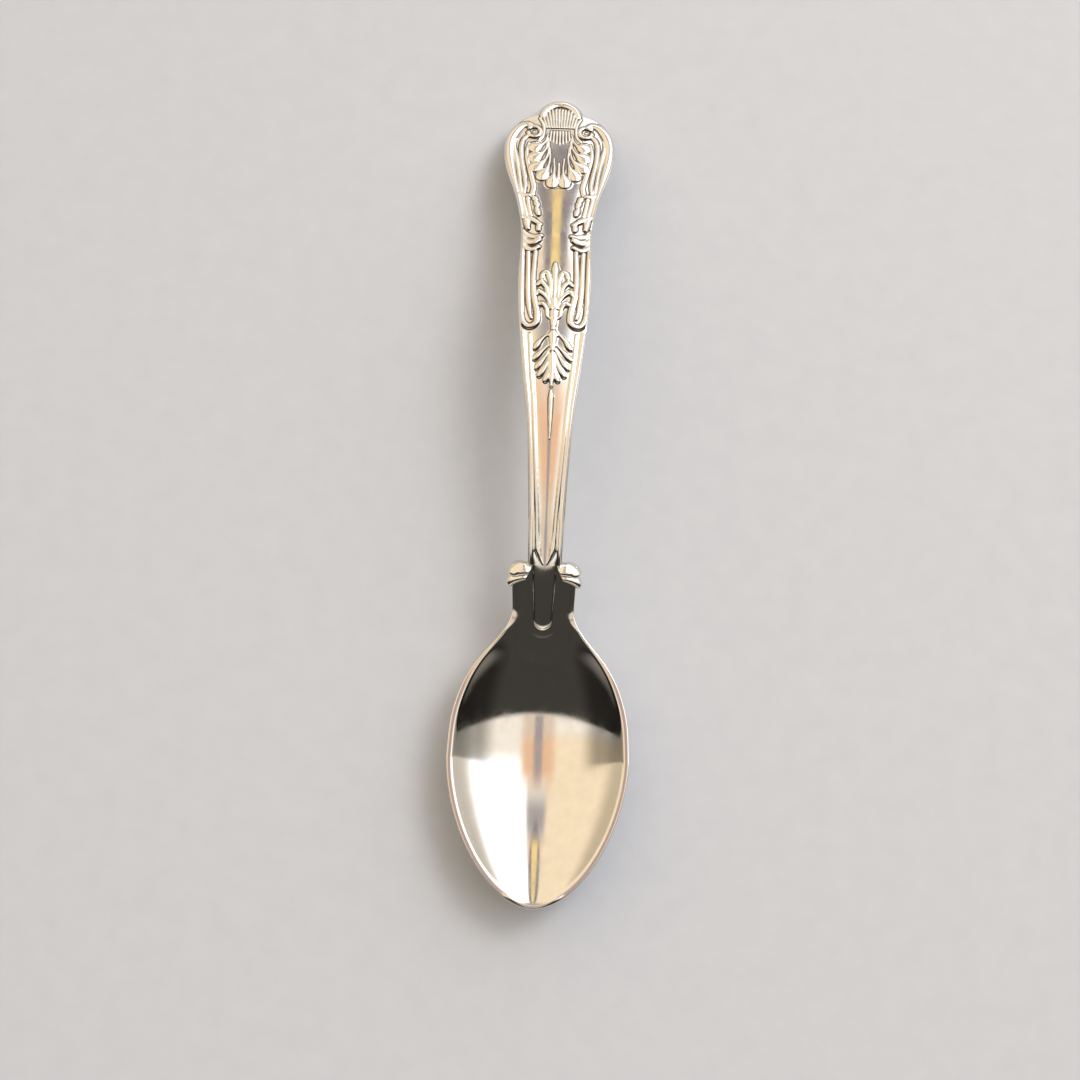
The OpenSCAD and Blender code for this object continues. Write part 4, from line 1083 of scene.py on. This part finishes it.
# Bead drop. A slender tear that hangs on the axis of the stem under the lower spray and runs out
# to a point. It is struck with the face, in the same steel.
tear_ribs = [
    rib([(0, 81.9), (0, 74.1)], 0.9, 0.85 * RELIEF_H,
        [(0, 0.5), (0.15, 1), (0.35, 0.9), (1, 0.3)], [(0, 0.8), (0.2, 1), (1, 0.3)]),
]
bead_drop = struck_patch("bead_drop_struck", tear_ribs, reach=0.8, start=73.6, end=82.6)
finish_piece(bead_drop, "bead_drop", struck_steel)

# Stem threads. Two reeds at each side run from the spray to the neck, where the inner ones meet in
# a point. They are struck along the edges of the stem, in the same steel, and buffed bright.
stem_ribs = [
    rib(
        [(5.0, 91.4), (4.5, 87.1), (4.1, 83.8), (3.68, 80.6), (3.1, 74.1), (2.7, 67.83),
         (2.45, 61.57), (2.32, 54.3)],
        1.0, 0.8 * RELIEF_H, [(0, 1.1), (0.5, 0.9), (1, 0.85)],
    ),
    rib(
        [(3.75, 91.2), (3.5, 87.1), (3.2, 83.8), (2.87, 80.6), (2.42, 74.1), (1.98, 67.83), (1.55, 61.57),
         (1.3, 57.8), (0.95, 55.6), (0.3, 54.2)],
        0.9, 0.8 * RELIEF_H, [(0, 0.6), (0.2, 0.9), (0.86, 0.9), (0.93, 1.3), (1, 0.8)],
        [(0, 1), (0.9, 1), (0.95, 1.3), (1, 1)],
    ),
]
stem_threads = struck_patch("stem_threads_struck", stem_ribs, reach=6.0, start=52.8, end=91.9, painted_shade_gain=0.3)
finish_piece(stem_threads, "stem_threads", struck_steel)

# Neck ridge. The crown of the stem runs out over the neck as a flat tongue with a round end, on
# two lower steps that fade into the dish. It is pressed with the bowl and polished as bright.
ridge_ribs = [
    rib([(0, 56.5), (0, 45.8)], 3.6, 0.6,
        [(0, 1.05), (0.5, 1), (1, 0.84)], [(0, 0), (0.2, 0.3), (0.5, 0.8), (1, 1)], fullness=0.3),
    rib([(0, 51.0), (0, 45.3)], 4.8, 0.27, heights=[(0, 0.1), (1, 1)], fullness=0.4),
    rib([(0, 52.5), (0, 42.2)], 6.4, 0.13, heights=[(0, 0.2), (0.5, 0.8), (1, 1)]),
]
neck_ridge = struck_patch("neck_ridge_struck", ridge_ribs, reach=4.6, start=37.0, end=58.4)
finish_piece(neck_ridge, "neck_ridge", polished_steel)

# Drop. Under the neck the metal of the handle runs out as a round tongue on the back of the bowl,
# which strengthens its root. It is pressed and polished with the bowl. The photograph shows only
# the front.
DROP_LEN, DROP_W, DROP_H = 8.0, 6.4, 0.6
drop_ribs = [
    rib(
        [(0, STEM_AT - 0.8), (0, NECK_AT - DROP_LEN + DROP_W / 2)], DROP_W, DROP_H,
        heights=[(0, 0), (0.12, 0.1), (0.25, 0.45), (0.38, 0.85), (0.5, 1), (1, 1)], fullness=0.4,
    ),
]
drop = struck_patch(
    "drop_pressed", drop_ribs, reach=4.6, start=NECK_AT - DROP_LEN - 2, end=STEM_AT - 0.2,
    side=-1, step=0.12,
)
finish_piece(drop, "drop", polished_steel)

# Shoulder curls. The neck's shoulders are rolled into a small scroll at each side, with a lip that
# droops towards the bowl. They are struck with the handle and buffed.
ROLL_SIDES, ROLL_STEPS = 24, 40
ROLL_LEAN, ROLL_SEAT, ROLL_TALL, SEAT_REACH = 0.5, 0.4, 0.9, 4.6
curl_rolls = [
    [(2.2, 53.4, 0.95), (3.2, 53.75, 1.15), (4.2, 53.7, 1.25), (4.95, 53.2, 1.15), (5.3, 52.6, 0.85)],
    [(2.7, 52.5, 0.7), (3.8, 52.65, 0.9), (4.8, 52.35, 0.95), (5.4, 51.7, 0.75), (5.6, 50.9, 0.45)],
]


def roll_grid(points, side):
    """Rings of points round a smooth path that lies on the neck; each point has its radius."""
    way = through(points)
    steps = np.linspace(0, 1, ROLL_STEPS)
    u, s, radius = (np.interp(steps, np.linspace(0, 1, len(way)), column) for column in way.T)
    radius = radius * np.sqrt(np.clip(1 - (2 * steps - 1) ** 10, 0.01, 1))
    z = lower_top(np.minimum(u, SEAT_REACH), s) - ROLL_SEAT * radius
    du, ds = np.gradient(u), np.gradient(s)
    length = np.hypot(du, ds)
    turns = np.linspace(0, 2 * np.pi, ROLL_SIDES + 1)
    out = radius[:, None] * np.cos(turns)
    ring_u = u[:, None] - out * (ds / length)[:, None]
    tall = radius[:, None] * np.sin(turns)
    ring_s = s[:, None] + out * (du / length)[:, None] - ROLL_LEAN * tall
    ring_z = z[:, None] + ROLL_TALL * tall
    return np.stack([side * ring_u, ring_s, ring_z], 2)


rolls = []
for side in (-1, 1):
    for points in curl_rolls:
        rolls.append(grid_piece("curl", roll_grid(points, side)))
bpy.ops.object.select_all(action="DESELECT")
for piece in rolls:
    piece.select_set(True)
curls = rolls[0]
bpy.context.view_layer.objects.active = curls
bpy.ops.object.join()
curls.name = curls.data.name = "shoulder_curls_rolled"
bpy.ops.object.mode_set(mode="EDIT")
bpy.ops.mesh.select_all(action="SELECT")
bpy.ops.mesh.remove_doubles(threshold=1e-7)
bpy.ops.mesh.fill_holes(sides=0)
bpy.ops.mesh.normals_make_consistent(inside=False)
bpy.ops.mesh.select_all(action="DESELECT")
bpy.ops.object.mode_set(mode="OBJECT")
bpy.ops.object.shade_smooth_by_angle(angle=CREASE)
finish_piece(curls, "shoulder_curls", polished_steel)

# Back. The lower die of a double-struck handle repeats the shell's lobes and one reed along each
# edge underneath, lower than on the face. The photograph doesn't show this side.
BACK_H = 0.7 * RELIEF_H
back_lobes = [rib(line, 2.2, 1.1 * BACK_H, LOBE_WIDTHS, LOBE_HEIGHTS, 0.7) for line in lobe_lines]
back_shell = struck_patch("back_shell_struck", back_lobes, reach=6.4, start=117.6, end=131.0, side=-1)
finish_piece(back_shell, "back_shell", struck_steel)
EDGE_REED = 0.62
back_edge = [(handle_half(s) - EDGE_REED, s) for s in np.linspace(131.2, END_AT + 0.1, 16)]
border_rib = rib(back_edge, 0.8, BACK_H, [(0, 0.4), (0.06, 1), (1, 1)])
back_borders = struck_patch(
    "back_borders_struck", [border_rib], reach=9.6, start=91.2, end=132.6, side=-1
)
finish_piece(back_borders, "back_borders", struck_steel)
back_stem = [(handle_half(s) - EDGE_REED, s) for s in np.linspace(END_AT, STEM_AT + 0.8, 10)]
thread_rib = rib(back_stem, 0.65, BACK_H)
back_threads = struck_patch(
    "back_stem_threads_struck", [thread_rib], reach=6.0, start=54.4, end=92.4, side=-1
)
finish_piece(back_threads, "back_stem_threads", struck_steel)
